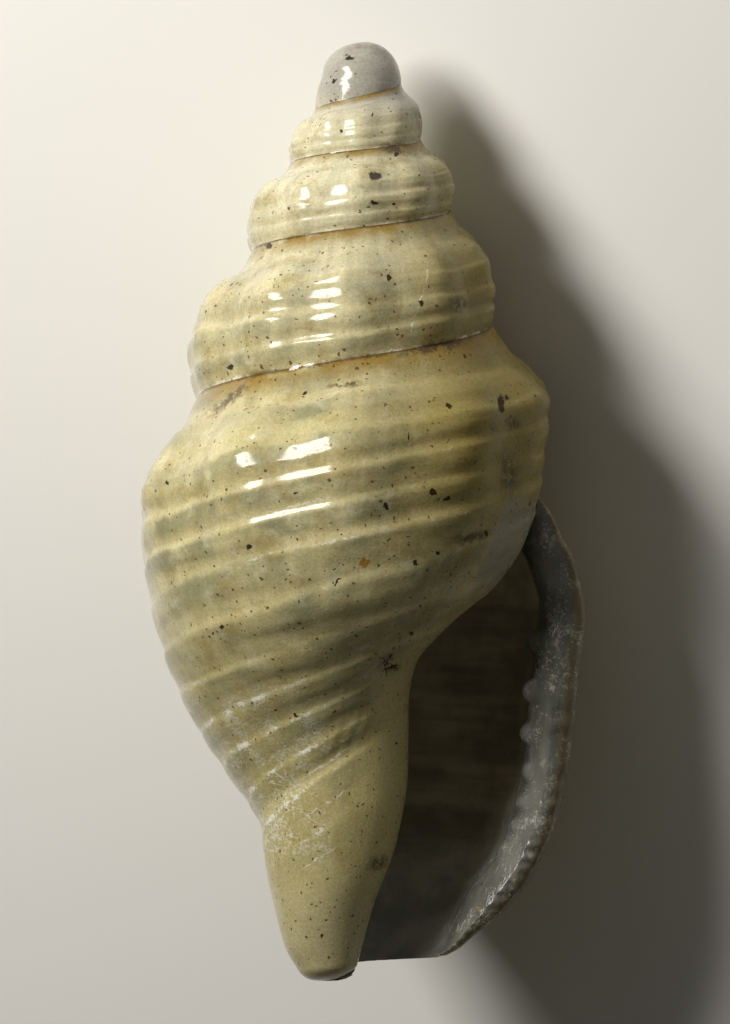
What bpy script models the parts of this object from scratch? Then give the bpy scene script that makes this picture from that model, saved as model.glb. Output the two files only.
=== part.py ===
"""Turreted sea-snail shell with an open canal, lying on its back, aperture up."""

import math

import bmesh
import bpy
import numpy as np
from mathutils import Matrix, Vector

# The tables below are in millimetres, the model is in metres
MM = 0.001

# Grid of the outer surface: turns are counted from the outer lip, older turns are negative
FIRST_TURN = -5.0
COLUMNS_PER_TURN = 40
ROWS_PER_WHORL = 10
BASE_ROWS = 29
DOME_RINGS = 3
TIP_RINGS = 2

# The suture: turn, depth below the apex, radius; past the lip it only guides the body whorl
SUTURE = (
    (-5.0, 0.370, 0.325),
    (-4.5, 0.300, 0.390),
    (-4.0, 0.370, 0.325),
    (-3.5, 0.640, 0.446),
    (-3.0, 0.860, 0.520),
    (-2.5, 1.130, 0.643),
    (-2.0, 1.480, 0.815),
    (-1.5, 1.940, 0.963),
    (-1.0, 2.500, 1.225),
    (-0.5, 3.290, 1.407),
    (0.0, 4.060, 1.730),
    (0.5, 4.900, 1.805),
    (1.0, 5.950, 2.150),
)

# Whorl profile: how far it stands out past the straight line from suture to suture
PROFILE_STEPS = (0.0, 0.1, 0.2, 0.3, 0.4, 0.5, 0.6, 0.7, 0.8, 0.9, 1.0)
SPIRE_PROFILE = (0.0, 0.013, 0.078, 0.179, 0.239, 0.225, 0.215, 0.185, 0.135, 0.070, 0.0)
SPIRE_PROFILE_SIZE = (
    (-5.0, 0.05),
    (-4.5, 0.15),
    (-4.0, 0.38),
    (-3.5, 0.37),
    (-3.0, 0.57),
    (-2.5, 0.70),
    (-2.0, 0.68),
    (-1.5, 1.00),
)
BODY_PROFILES = (
    (-1.0, (0.0, 0.060, 0.140, 0.245, 0.315, 0.275, 0.235, 0.170, 0.115, 0.055, 0.0)),
    (-0.5, (0.0, 0.020, 0.060, 0.118, 0.175, 0.218, 0.205, 0.160, 0.123, 0.062, 0.0)),
    (0.0, (0.0, 0.100, 0.155, 0.220, 0.245, 0.260, 0.220, 0.160, 0.110, 0.050, 0.0)),
)

# Base and canal below the whorl: depth and radius at each step down, for five turns
BASE_STEPS = (1.25, 1.5, 1.7, 2.0, 2.45, 2.8, 3.1, 3.5, 3.9, 4.3, 4.6)
BASE_SECTIONS = (
    (-2.0, ((2.75, 1.10), (2.95, 0.95), (3.10, 0.80), (3.30, 0.60), (3.70, 0.42), (4.20, 0.33),
            (4.80, 0.29), (5.60, 0.26), (6.50, 0.23), (7.50, 0.20), (8.34, 0.17))),
    (-1.5, ((3.60, 1.25), (3.85, 1.05), (4.02, 0.88), (4.25, 0.68), (4.60, 0.50), (4.95, 0.43),
            (5.40, 0.40), (6.10, 0.38), (6.90, 0.33), (7.70, 0.25), (8.36, 0.20))),
    (-1.0, ((4.45, 1.62), (4.78, 1.42), (5.00, 1.18), (5.22, 0.92), (5.50, 0.70), (5.75, 0.64),
            (6.00, 0.63), (6.60, 0.65), (7.20, 0.58), (7.85, 0.38), (8.38, 0.26))),
    (-0.5, ((5.20, 1.735), (5.50, 1.65), (5.73, 1.55), (6.05, 1.38), (6.46, 1.10), (6.79, 0.85),
            (7.06, 0.68), (7.50, 0.605), (7.93, 0.497), (8.26, 0.389), (8.43, 0.28))),
    (0.0, ((6.20, 2.13), (6.50, 2.10), (6.70, 2.07), (6.97, 2.02), (7.25, 1.93), (7.45, 1.84),
           (7.63, 1.73), (7.87, 1.53), (8.06, 1.31), (8.19, 1.17), (8.25, 1.07))),
)
TIP_DEPTH = 8.53

# Axial ribs and spiral cords
RIBS_PER_TURN = 10
RIB_HEIGHT = 0.065
CORDS_PER_WHORL = 5
CORD_HEIGHT = 0.036
LAST_CORD_STEP = 3.6

# Outer lip: turn and inset of its rolled edge
LIP_ROLL = ((0.0050, 0.03), (0.0095, 0.12))
# Depth, and inset of the lip's inner edge from its outside
LIP_INSET = (
    (4.40, 0.460),
    (4.75, 0.425),
    (5.20, 0.405),
    (5.90, 0.400),
    (6.30, 0.375),
    (6.60, 0.330),
    (7.30, 0.295),
    (7.90, 0.330),
    (8.10, 0.240),
    (8.28, 0.140),
)
# Wall behind the lip, and the thinner rim at the end of the canal
WALL = 0.18
CANAL_RIM_DEPTH = 8.2
CANAL_RIM = 0.09
# Depth, height and half width of each tooth
TEETH = (
    (5.44, 0.130, 0.11),
    (5.91, 0.100, 0.12),
    (6.37, 0.100, 0.11),
    (6.76, 0.050, 0.09),
    (7.02, 0.045, 0.08),
    (7.26, 0.040, 0.08),
)

# Cavity: turn, share of the lip's inset, share of the teeth, gap to the whorl inside
CAVITY_STATIONS = (
    (0.060, 0.60, 0.0, 0.060),
    (0.018, 0.78, 0.3, 0.010),
    (0.004, 0.92, 0.8, -0.008),
    (-0.008, 1.00, 1.0, -0.010),
    (-0.020, 1.00, 0.9, -0.010),
    (-0.036, 0.75, 0.3, -0.010),
    (-0.058, 0.30, 0.0, -0.010),
    (-0.085, 0.05, 0.0, -0.010),
    (-0.130, 0.00, 0.0, -0.010),
    (-0.190, 0.00, 0.0, -0.010),
    (-0.250, 0.00, 0.0, -0.010),
    (-0.310, 0.00, 0.0, -0.010),
    (-0.360, 0.00, 0.0, -0.010),
    (-0.420, 0.00, 0.0, -0.010),
    (-0.500, 0.00, 0.0, -0.010),
    (-0.580, 0.00, 0.0, -0.010),
    (-0.650, 0.00, 0.0, -0.010),
)
CAVITY_ROWS = 42
# Depths past the end of the canal, and where the cavity ends at each turn
CANAL_STEPS = (8.30, 8.38, 8.43, 8.47, 8.50, 8.53, 8.90)
CANAL_END = ((-0.650, 7.00), (-0.500, 7.50), (-0.420, 7.90), (-0.360, 8.30), (0.060, 8.30))

# Resting pose: turned about the axis, then tipped, then ground to a small flat spot
REST_ROLL = math.radians(17.0)
REST_PITCH = math.radians(-14.0)
FLAT_DEPTH = 0.045


def smooth_curve(stops, heights, place):
    """Smooth curve through the points that never overshoots between them."""
    stops = np.asarray(stops, dtype=float)
    heights = np.asarray(heights, dtype=float)
    place = np.clip(place, stops[0], stops[-1])
    steps = np.diff(stops)
    slopes = np.diff(heights) / steps
    product = slopes[:-1] * slopes[1:]
    total = slopes[:-1] + slopes[1:]
    safe_total = np.where(product > 0.0, total, 1.0)
    tangents = np.empty_like(heights)
    tangents[0] = slopes[0]
    tangents[-1] = slopes[-1]
    tangents[1:-1] = np.where(product > 0.0, 2.0 * product / safe_total, 0.0)
    cell = np.clip(np.searchsorted(stops, place, side="right") - 1, 0, len(steps) - 1)
    part = (place - stops[cell]) / steps[cell]
    rise = heights[cell + 1] - heights[cell]
    start = tangents[cell] * steps[cell]
    end = tangents[cell + 1] * steps[cell]
    curve = part * start + part ** 2 * (3.0 * rise - 2.0 * start - end)
    return heights[cell] + curve + part ** 3 * (start + end - 2.0 * rise)


def smooth_step(low, high, value):
    """Rise from 0 at low to 1 at high."""
    part = np.clip((value - low) / (high - low), 0.0, 1.0)
    return part * part * (3.0 - 2.0 * part)


def suture(turn):
    """Depth and radius of the suture."""
    turns, depths, radii = zip(*SUTURE)
    return smooth_curve(turns, depths, turn), smooth_curve(turns, radii, turn)


def whorl_bulge(turn, step):
    """How far the whorl stands out past the straight line between its sutures."""
    spire = smooth_curve(PROFILE_STEPS, SPIRE_PROFILE, step)
    turns, sizes = zip(*SPIRE_PROFILE_SIZE)
    if turn <= turns[-1]:
        return spire * smooth_curve(turns, sizes, turn)
    key_turns = [turns[-1]]
    key_bulges = [spire]
    for key_turn, profile in BODY_PROFILES:
        key_turns.append(key_turn)
        key_bulges.append(smooth_curve(PROFILE_STEPS, profile, step))
    key_bulges = np.array(key_bulges)
    return np.array([smooth_curve(key_turns, bulge, turn) for bulge in key_bulges.T])


def base_curve(turn, step):
    """Depth and radius on the base and canal, below the whorl."""
    key_turns = [key_turn for key_turn, points in BASE_SECTIONS]
    start_depth, start_radius = suture(turn + 1.0)
    depths = [start_depth]
    radii = [start_radius]
    for index in range(len(BASE_STEPS)):
        key_depths = [points[index][0] for key_turn, points in BASE_SECTIONS]
        key_radii = [points[index][1] for key_turn, points in BASE_SECTIONS]
        depths.append(smooth_curve(key_turns, key_depths, turn))
        radii.append(smooth_curve(key_turns, key_radii, turn))
    stops = (1.0,) + BASE_STEPS
    return smooth_curve(stops, depths, step), smooth_curve(stops, radii, step)


def plain_section(turn, step):
    """Depth and radius of the outer surface without its sculpture."""
    step = np.asarray(step, dtype=float)
    turn = min(turn, 0.0)
    upper_depth, upper_radius = suture(turn)
    lower_depth, lower_radius = suture(turn + 1.0)
    whorl_step = np.clip(step, 0.0, 1.0)
    depth = upper_depth + (lower_depth - upper_depth) * whorl_step
    radius = upper_radius + (lower_radius - upper_radius) * whorl_step
    radius = radius + whorl_bulge(turn, whorl_step)
    if step.max() > 1.0:
        base_depth, base_radius = base_curve(turn, np.maximum(step, 1.0))
        depth = np.where(step > 1.0, base_depth, depth)
        radius = np.where(step > 1.0, base_radius, radius)
    return depth, radius


def relief(turn, step):
    """Height of ribs and cords above the plain surface."""
    size = np.clip((suture(turn + 1.0)[0] - suture(turn)[0]) / 1.4, 0.25, 1.0)
    rib = 0.5 + 0.5 * math.cos(2.0 * math.pi * (RIBS_PER_TURN * turn - 0.5))
    rib = rib * smooth_step(-4.1, -3.7, turn) * (1.0 - 0.75 * smooth_step(-0.7, -0.35, turn))
    rib = rib * (1.0 - smooth_step(-0.2, -0.05, turn))
    rib = rib * smooth_step(0.1, 0.4, step) * (1.0 - smooth_step(0.6, 1.4, step))
    cord = -0.5 * np.cos(2.0 * math.pi * CORDS_PER_WHORL * step)
    cord = cord * smooth_step(0.0, 0.1, step) * (0.6 + 0.4 * smooth_step(0.3, 0.5, step))
    cord = cord * (1.0 - smooth_step(LAST_CORD_STEP - 0.5, LAST_CORD_STEP, step))
    cord = cord * smooth_step(-4.1, -3.7, turn) * (1.0 - 0.5 * smooth_step(-0.15, 0.0, turn))
    cord = cord * (1.0 - 0.35 * smooth_step(1.2, 2.2, step))
    callus_edge = 0.08 + 0.12 * smooth_step(1.3, 2.4, step)
    callus = 1.0 - smooth_step(callus_edge - 0.04, callus_edge + 0.04, turn + 1.0)
    cord = cord * (1.0 - callus * smooth_step(1.0, 1.2, step) * smooth_step(-0.01, 0.0, turn + 1.0))
    return size * (RIB_HEIGHT * rib + CORD_HEIGHT * cord)


def outer_section(turn, step):
    """Depth and radius of the outer surface with its ribs and cords."""
    step = np.asarray(step, dtype=float)
    depth, radius = plain_section(turn, step)
    above_depth, above_radius = plain_section(turn, np.maximum(step - 0.05, 0.0))
    below_depth, below_radius = plain_section(turn, np.minimum(step + 0.05, BASE_STEPS[-1]))
    run = below_depth - above_depth
    fall = below_radius - above_radius
    length = np.hypot(run, fall)
    height = relief(turn, step)
    return depth - height * fall / length, radius + height * run / length


def in_shell(turn, depth, radius):
    """Point in the shell's own axes, apex toward +Y and aperture toward +Z."""
    angle = 2.0 * math.pi * turn
    return (radius * math.cos(angle), -depth, radius * math.sin(angle))


def zip_strip(left, right, heights):
    """Triangles between two chains of vertices that share both ends."""
    faces = []
    i = 0
    j = 0
    while i < len(left) - 1 or j < len(right) - 1:
        step_left = i < len(left) - 1
        if step_left and j < len(right) - 1:
            step_left = heights[left[i + 1]] <= heights[right[j + 1]]
        if step_left:
            corners = (left[i], left[i + 1], right[j])
            i += 1
        else:
            corners = (left[i], right[j + 1], right[j])
            j += 1
        if len(set(corners)) == 3:
            faces.append(corners)
    return faces


def outer_steps():
    """Steps from the suture to the end of the canal, one per row of the body whorl."""
    whorl = np.linspace(0.0, 1.0, ROWS_PER_WHORL + 1)
    spacing = whorl[1]
    corded = np.arange(1, BASE_ROWS - 3) * spacing + 1.0
    plain = np.linspace(corded[-1], BASE_STEPS[-1], 5)[1:]
    return np.concatenate((whorl, corded, plain))


class Grid:
    """Vertices of the outer surface, kept by column and row."""

    def __init__(self):
        self.steps = outer_steps()
        self.last_row = len(self.steps) - 1
        self.last_column = int(round(-FIRST_TURN)) * COLUMNS_PER_TURN
        self.body_start = self.last_column - COLUMNS_PER_TURN
        self.end_column = self.last_column + len(LIP_ROLL)
        self.end_row = self.last_row + TIP_RINGS + 1
        self.points = []
        self.ids = {}

    def add(self, key, point):
        """Add a vertex under its column and row."""
        self.ids[key] = len(self.points)
        self.points.append(point)

    def share(self, key, other):
        """Let two places of the grid use one vertex."""
        self.ids[key] = self.ids[other]


def add_whorls(grid):
    """Wall of every whorl; each one ends on the suture of the whorl below it."""
    rows = ROWS_PER_WHORL
    for column in range(1, grid.last_column + 1):
        turn = FIRST_TURN + column / COLUMNS_PER_TURN
        steps = grid.steps if column >= grid.body_start else grid.steps[:rows]
        depths, radii = outer_section(turn, steps)
        for row, (depth, radius) in enumerate(zip(depths, radii)):
            if (column, row) != (grid.body_start, rows):
                grid.add((column, row), in_shell(turn, depth, radius))
    for column in range(1, grid.body_start + 1):
        grid.share((column, rows), (column + COLUMNS_PER_TURN, 0))
    for row in range(rows + 1):
        grid.share((0, row), (COLUMNS_PER_TURN, 0))


def add_lip_roll(grid):
    """Rolled edge of the outer lip, narrowing to nothing at the suture."""
    depths, radii = outer_section(0.0, grid.steps)
    for number, (roll_turn, inset) in enumerate(LIP_ROLL):
        column = grid.last_column + 1 + number
        grid.share((column, 0), (grid.last_column, 0))
        for row in range(1, grid.last_row + 1):
            part = min(1.0, 0.25 + row / ROWS_PER_WHORL)
            point = in_shell(roll_turn * part, depths[row], radii[row] - inset * part)
            grid.add((column, row), point)


def add_canal_tip(grid):
    """Rounded end of the canal, closing on the axis."""
    for ring in range(1, TIP_RINGS + 1):
        slope = 0.5 * math.pi * ring / (TIP_RINGS + 1)
        for column in range(grid.body_start, grid.end_column + 1):
            x, y, z = grid.points[grid.ids[(column, grid.last_row)]]
            drop = (TIP_DEPTH + y) * math.sin(slope)
            point = (x * math.cos(slope), y - drop, z * math.cos(slope))
            grid.add((column, grid.last_row + ring), point)
    grid.add("tip", (0.0, -TIP_DEPTH, 0.0))
    for column in range(grid.body_start, grid.end_column + 1):
        grid.share((column, grid.end_row), "tip")


def add_dome(grid):
    """Smooth dome over the first whorl, up to the apex."""
    for ring in range(1, DOME_RINGS + 1):
        slope = 0.5 * math.pi * (1.0 - ring / (DOME_RINGS + 1))
        for column in range(COLUMNS_PER_TURN):
            x, y, z = grid.points[grid.ids[(column, 0)]]
            lift = y * (1.0 - math.cos(slope))
            grid.add((column, -ring), (x * math.sin(slope), lift, z * math.sin(slope)))
        grid.share((COLUMNS_PER_TURN, -ring), (0, -ring))
    grid.add("apex", (0.0, 0.0, 0.0))
    for column in range(COLUMNS_PER_TURN + 1):
        grid.share((column, -DOME_RINGS - 1), "apex")


def outer_solid():
    """Vertices and faces of the shell as a solid, before the cavity is cut."""
    grid = Grid()
    add_whorls(grid)
    add_lip_roll(grid)
    add_canal_tip(grid)
    add_dome(grid)
    ids = grid.ids
    faces = []
    for column in range(grid.end_column):
        first = -DOME_RINGS - 1 if column < COLUMNS_PER_TURN else 0
        final = grid.end_row if column >= grid.body_start else ROWS_PER_WHORL
        for row in range(first, final):
            corners = (
                ids[(column, row)],
                ids[(column, row + 1)],
                ids[(column + 1, row + 1)],
                ids[(column + 1, row)],
            )
            kept = [corner for k, corner in enumerate(corners) if corner != corners[k - 1]]
            if len(set(kept)) > 2:
                faces.append(tuple(kept))
    outer_chain = [ids[(grid.end_column, row)] for row in range(grid.end_row + 1)]
    inner_rows = range(ROWS_PER_WHORL, grid.end_row + 1)
    inner_chain = [ids[(grid.body_start, row)] for row in inner_rows]
    heights = [-y for x, y, z in grid.points]
    faces.extend(zip_strip(outer_chain, inner_chain, heights))
    return grid.points, faces


def radius_at(turn, depths):
    """Radius of the plain outer surface at the given depths."""
    steps = np.linspace(0.0, BASE_STEPS[-1], 240)
    section_depths, section_radii = plain_section(turn, steps)
    return np.interp(depths, section_depths, section_radii)


def lip_inset(depths, lip_share, tooth_share):
    """Thickness of the wall, swollen at the outer lip and carrying its teeth."""
    inset_depths, insets = zip(*LIP_INSET)
    swollen = smooth_curve(inset_depths, insets, depths)
    thickness = WALL + (swollen - WALL) * lip_share
    for tooth_depth, height, width in TEETH:
        thickness = thickness + tooth_share * height * np.exp(-((depths - tooth_depth) / width) ** 2)
    return np.where(depths > CANAL_RIM_DEPTH, np.minimum(thickness, CANAL_RIM), thickness)


def cavity_section(station):
    """Loop of points around the cavity, down its inner side and up its outer side."""
    turn, lip_share, tooth_share, gap = station
    scan = np.linspace(suture(min(turn, 0.0))[0], 7.0, 400)
    inner = radius_at(turn - 1.0, scan) + gap
    outer = radius_at(turn, scan) - lip_inset(scan, lip_share, tooth_share)
    opening = scan[np.argmax(outer - inner > 0.02)]
    end_turns, end_depths = zip(*CANAL_END)
    end = float(smooth_curve(end_turns, end_depths, turn))
    reach = 1.0 if end >= CANAL_STEPS[0] - 0.001 else 0.3
    above = np.linspace(opening, end, CAVITY_ROWS)
    below = end + (np.array(CANAL_STEPS[1:]) - CANAL_STEPS[0]) * reach
    depths = np.concatenate((above, below))
    inner = radius_at(turn - 1.0, depths) + gap
    past_tip = np.clip((depths - CANAL_STEPS[1]) / (TIP_DEPTH - CANAL_STEPS[1]), 0.0, 0.98)
    inner = inner * np.sqrt(1.0 - past_tip ** 2)
    outer = radius_at(turn, depths) - lip_inset(depths, lip_share, tooth_share)
    outer = np.maximum(outer, inner + 0.015)
    down = [in_shell(turn, depth, radius) for depth, radius in zip(depths, inner)]
    up = [in_shell(turn, depth, radius) for depth, radius in zip(depths, outer)]
    return down + up[::-1]


def cavity_solid():
    """Vertices and faces of the cavity, as a tool to cut with."""
    points = []
    for station in CAVITY_STATIONS:
        points.extend(cavity_section(station))
    size = len(points) // len(CAVITY_STATIONS)
    faces = []
    for ring in range(len(CAVITY_STATIONS) - 1):
        for k in range(size):
            this = ring * size + k
            after = ring * size + (k + 1) % size
            faces.append((this, after, after + size, this + size))
    for first in (0, (len(CAVITY_STATIONS) - 1) * size):
        for k in range(size // 2 - 1):
            far = size - 1 - k
            faces.append((first + k, first + k + 1, first + far - 1, first + far))
    return points, faces


def resting_place(points):
    """Matrix that lays the shell down with its flat spot on the ground."""
    turned = Matrix.Rotation(REST_PITCH, 4, "X") @ Matrix.Rotation(REST_ROLL, 4, "Y")
    laid = np.array([turned @ Vector(point) for point in points])
    low = laid.min(axis=0)
    high = laid.max(axis=0)
    middle = (low + high) / 2.0
    shift = Matrix.Translation((-middle[0], -middle[1], -low[2] - FLAT_DEPTH))
    return Matrix.Scale(MM, 4) @ shift @ turned


def make_object(name, points, faces, place, collection):
    """Mesh object from millimetre points, with its faces turned outward."""
    mesh = bpy.data.meshes.new(name)
    built = bmesh.new()
    corners = [built.verts.new(place @ Vector(point)) for point in points]
    for face in faces:
        built.faces.new([corners[index] for index in face])
    bmesh.ops.recalc_face_normals(built, faces=built.faces)
    bmesh.ops.triangulate(built, faces=built.faces)
    built.to_mesh(mesh)
    built.free()
    piece = bpy.data.objects.new(name, mesh)
    collection.objects.link(piece)
    return piece


def make_ground_cutter(collection):
    """Box whose top face grinds the flat spot."""
    mesh = bpy.data.meshes.new("ground_cutter")
    built = bmesh.new()
    size = Matrix.Diagonal((0.02, 0.02, 0.002, 1.0))
    bmesh.ops.create_cube(built, size=1.0, matrix=Matrix.Translation((0.0, 0.0, -0.001)) @ size)
    built.to_mesh(mesh)
    built.free()
    cutter = bpy.data.objects.new("ground_cutter", mesh)
    collection.objects.link(cutter)
    return cutter


def cut(piece, cutter, name):
    """Subtract a cutter from the piece."""
    modifier = piece.modifiers.new(name, "BOOLEAN")
    modifier.operation = "DIFFERENCE"
    modifier.solver = "EXACT"
    modifier.object = cutter
    cutter.hide_render = True
    cutter.display_type = "WIRE"


def shell_material():
    """Cream, slightly glossy shell."""
    material = bpy.data.materials.new("shell_cream")
    material.use_nodes = True
    principled = material.node_tree.nodes["Principled BSDF"]
    principled.inputs["Base Color"].default_value = (0.56, 0.50, 0.30, 1.0)
    principled.inputs["Roughness"].default_value = 0.4
    return material


def build():
    """Build the shell in an empty scene."""
    for old in list(bpy.data.objects):
        bpy.data.objects.remove(old, do_unlink=True)
    parts = bpy.data.collections.new("macrozafra_mariae")
    cutters = bpy.data.collections.new("cutters")
    bpy.context.scene.collection.children.link(parts)
    bpy.context.scene.collection.children.link(cutters)
    points, faces = outer_solid()
    place = resting_place(points)
    shell = make_object("shell", points, faces, place, parts)
    shell.data.materials.append(shell_material())
    cavity_points, cavity_faces = cavity_solid()
    cavity = make_object("cavity_cutter", cavity_points, cavity_faces, place, cutters)
    cut(shell, cavity, "cavity")
    cut(shell, make_ground_cutter(cutters), "flat_spot")
    for polygon in shell.data.polygons:
        polygon.use_smooth = True


build()
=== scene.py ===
"""Small turreted sea-snail shell, lying aperture up on a pale floor.

The wall is wound from flat sheets with the same curves that give the shell its size:
the suture, the whorl profiles and the sections of the base. Tables are in millimetres.
"""

import math
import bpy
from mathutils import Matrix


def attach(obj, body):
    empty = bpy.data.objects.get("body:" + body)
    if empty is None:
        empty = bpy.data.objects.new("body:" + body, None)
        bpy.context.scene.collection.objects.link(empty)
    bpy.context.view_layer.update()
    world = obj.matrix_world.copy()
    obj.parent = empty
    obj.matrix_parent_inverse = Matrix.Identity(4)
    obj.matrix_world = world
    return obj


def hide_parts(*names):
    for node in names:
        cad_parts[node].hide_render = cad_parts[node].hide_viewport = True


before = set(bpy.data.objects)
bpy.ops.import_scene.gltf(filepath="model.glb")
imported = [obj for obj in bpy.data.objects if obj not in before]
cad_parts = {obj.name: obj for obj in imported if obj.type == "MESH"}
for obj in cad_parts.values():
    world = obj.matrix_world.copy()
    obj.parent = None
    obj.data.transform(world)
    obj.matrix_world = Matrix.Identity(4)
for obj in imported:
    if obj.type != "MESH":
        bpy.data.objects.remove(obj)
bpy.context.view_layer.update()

from types import SimpleNamespace

import bpy
import numpy as np
from bpy.props import FloatProperty, FloatVectorProperty, IntProperty, PointerProperty
from mathutils import Matrix, Vector

bl_info = {
    "name": "Turreted sea-snail shell",
    "version": (1, 0, 0),
    "blender": (4, 5, 0),
    "location": "3D Viewport > Sidebar > Shell",
    "description": "Winds a corded sea-snail shell with a toothed lip, and sets its stage",
    "category": "Add Mesh",
}

MM = 0.001

# The suture: turn, depth below the apex, radius
SUTURE = (
    (-5.0, 0.370, 0.325),
    (-4.5, 0.300, 0.390),
    (-4.0, 0.370, 0.325),
    (-3.5, 0.640, 0.446),
    (-3.0, 0.860, 0.520),
    (-2.5, 1.130, 0.643),
    (-2.0, 1.480, 0.815),
    (-1.5, 1.940, 0.963),
    (-1.0, 2.500, 1.225),
    (-0.5, 3.290, 1.407),
    (0.0, 4.060, 1.730),
    (0.5, 4.900, 1.805),
    (1.0, 5.950, 2.150),
)
FIRST_TURN = -5.0
# Rows on the first whorl stay at least this far apart, or share their points
ROW_GAP = 0.0016

# Whorl profile: how far it stands out past the straight line from suture to suture
PROFILE_STEPS = (0.0, 0.1, 0.2, 0.3, 0.4, 0.5, 0.6, 0.7, 0.8, 0.9, 1.0)
SPIRE_PROFILE = (0.0, 0.013, 0.078, 0.179, 0.239, 0.225, 0.215, 0.185, 0.135, 0.070, 0.0)
SPIRE_PROFILE_SIZE = (
    (-5.0, 0.00),
    (-4.5, 0.06),
    (-4.0, 0.38),
    (-3.5, 0.37),
    (-3.0, 0.57),
    (-2.5, 0.70),
    (-2.0, 0.68),
    (-1.5, 1.00),
)
BODY_PROFILES = (
    (-1.0, (0.0, 0.060, 0.140, 0.245, 0.315, 0.275, 0.235, 0.170, 0.115, 0.055, 0.0)),
    (-0.5, (0.0, 0.020, 0.060, 0.118, 0.175, 0.218, 0.205, 0.160, 0.123, 0.062, 0.0)),
    (0.0, (0.0, 0.100, 0.155, 0.220, 0.245, 0.260, 0.220, 0.160, 0.110, 0.050, 0.0)),
)

# Base and canal below the whorl: depth and radius at each step down, for five turns
BASE_STEPS = (1.25, 1.5, 1.7, 2.0, 2.45, 2.8, 3.1, 3.5, 3.9, 4.3, 4.6)
BASE_SECTIONS = (
    (-2.0, ((2.75, 1.10), (2.95, 0.95), (3.10, 0.80), (3.30, 0.60), (3.70, 0.42), (4.20, 0.33),
            (4.80, 0.29), (5.60, 0.26), (6.50, 0.23), (7.50, 0.20), (8.34, 0.17))),
    (-1.5, ((3.60, 1.25), (3.85, 1.05), (4.02, 0.88), (4.25, 0.68), (4.60, 0.50), (4.95, 0.43),
            (5.40, 0.40), (6.10, 0.38), (6.90, 0.33), (7.70, 0.25), (8.36, 0.20))),
    (-1.0, ((4.45, 1.62), (4.78, 1.42), (5.00, 1.18), (5.22, 0.92), (5.50, 0.70), (5.75, 0.64),
            (6.00, 0.63), (6.60, 0.65), (7.20, 0.58), (7.85, 0.38), (8.38, 0.26))),
    (-0.5, ((5.20, 1.735), (5.50, 1.65), (5.73, 1.55), (6.05, 1.38), (6.46, 1.10), (6.79, 0.85),
            (7.06, 0.68), (7.50, 0.605), (7.93, 0.497), (8.26, 0.389), (8.43, 0.28))),
    (0.0, ((6.20, 2.13), (6.50, 2.10), (6.70, 2.07), (6.97, 2.02), (7.25, 1.93), (7.45, 1.84),
           (7.63, 1.73), (7.87, 1.53), (8.06, 1.31), (8.19, 1.17), (8.25, 1.07))),
)
# End of the canal: its depth, how far it leans aside, the angle at which it starts to round,
# and how much fuller it is where the canal is wide
TIP_DEPTH = 8.53
TIP_LEAN = -0.10
TIP_START = 0.45
TIP_FULLNESS = 0.6
TIP_RINGS = 12
DOME_RINGS = 20

# Ribs, cords and lumps rise from the smooth first whorls between these turns
SCULPTURE_START = (-4.1, -3.7)
# They are full size where the sutures lie this far apart, and never under the given share
FULL_WHORL = 1.4
LEAST_SCULPTURE = 0.25
RIBS_PER_TURN = 10
RIB_WANDER = 0.06
# Turns where the ribs weaken and end, steps between which they rise and fade
RIBS_WEAKEN = (-0.6, -0.35)
RIBS_END = (-0.2, -0.05)
RIB_TOP = (0.1, 0.4)
RIB_FOOT = (0.55, 1.3)
# Lumps, in heights of the growth marks, and the growth marks in each turn
LUMP_SIZE = 2.6
GROWTH_MARKS = 29.0
CORDS_PER_WHORL = 5
LAST_CORD_STEP = 3.8
CORD_WANDER = 0.16
# Past this step the cords stand further apart, by this share
WIDER_PAST = 1.1
WIDER_SHARE = 0.45
# Around the front of the last whorl the cords run down more steeply than the suture, and less so
# again on the base: from step, to step, change; and its share as the whorl turns: from, to, change
CORD_SLANT = ((0.1, 0.8, 0.60), (1.6, 3.2, -0.40))
SLANT_TURNS = ((-1.5, -1.0, -0.25), (-1.0, -0.5, 0.50), (-0.5, 0.0, 0.10))
# Upper edge, start of the slope and groove of each cord, as shares of the way to the next
CORD_EDGE = 0.17
CORD_SLOPE = 0.50
CORD_GROOVE = 0.94
# The callus beside the aperture widens between these steps
CALLUS_WIDENS = (1.3, 2.4)

# Outer lip: depth, and how far its inner edge stands in from its outside
LIP_WIDTH = (
    (4.40, 0.460),
    (4.75, 0.425),
    (5.20, 0.405),
    (5.90, 0.400),
    (6.30, 0.375),
    (6.60, 0.330),
    (7.30, 0.330),
    (7.90, 0.370),
    (8.10, 0.280),
    (8.28, 0.160),
)
# Rolled edge of the lip: turn past its outline, share of its width
LIP_ROLL = (
    (0.0022, 0.010),
    (0.0044, 0.035),
    (0.0066, 0.080),
    (0.0086, 0.145),
    (0.0102, 0.230),
    (0.0114, 0.320),
    (0.0122, 0.420),
    (0.0128, 0.540),
    (0.0136, 0.750),
    (0.0142, 1.000),
)
WALL = 0.18
# The wall thins to a rim at the end of the canal, between these depths
CANAL_THINNING = (7.6, 8.3)
CANAL_RIM = 0.08
# Depth, height and half width of each tooth on the lip
TEETH = (
    (5.38, 0.105, 0.120),
    (5.82, 0.090, 0.120),
    (6.21, 0.080, 0.110),
    (6.55, 0.055, 0.095),
    (6.83, 0.045, 0.085),
    (7.04, 0.040, 0.075),
    (7.26, 0.032, 0.075),
    (7.46, 0.022, 0.065),
)
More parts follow.
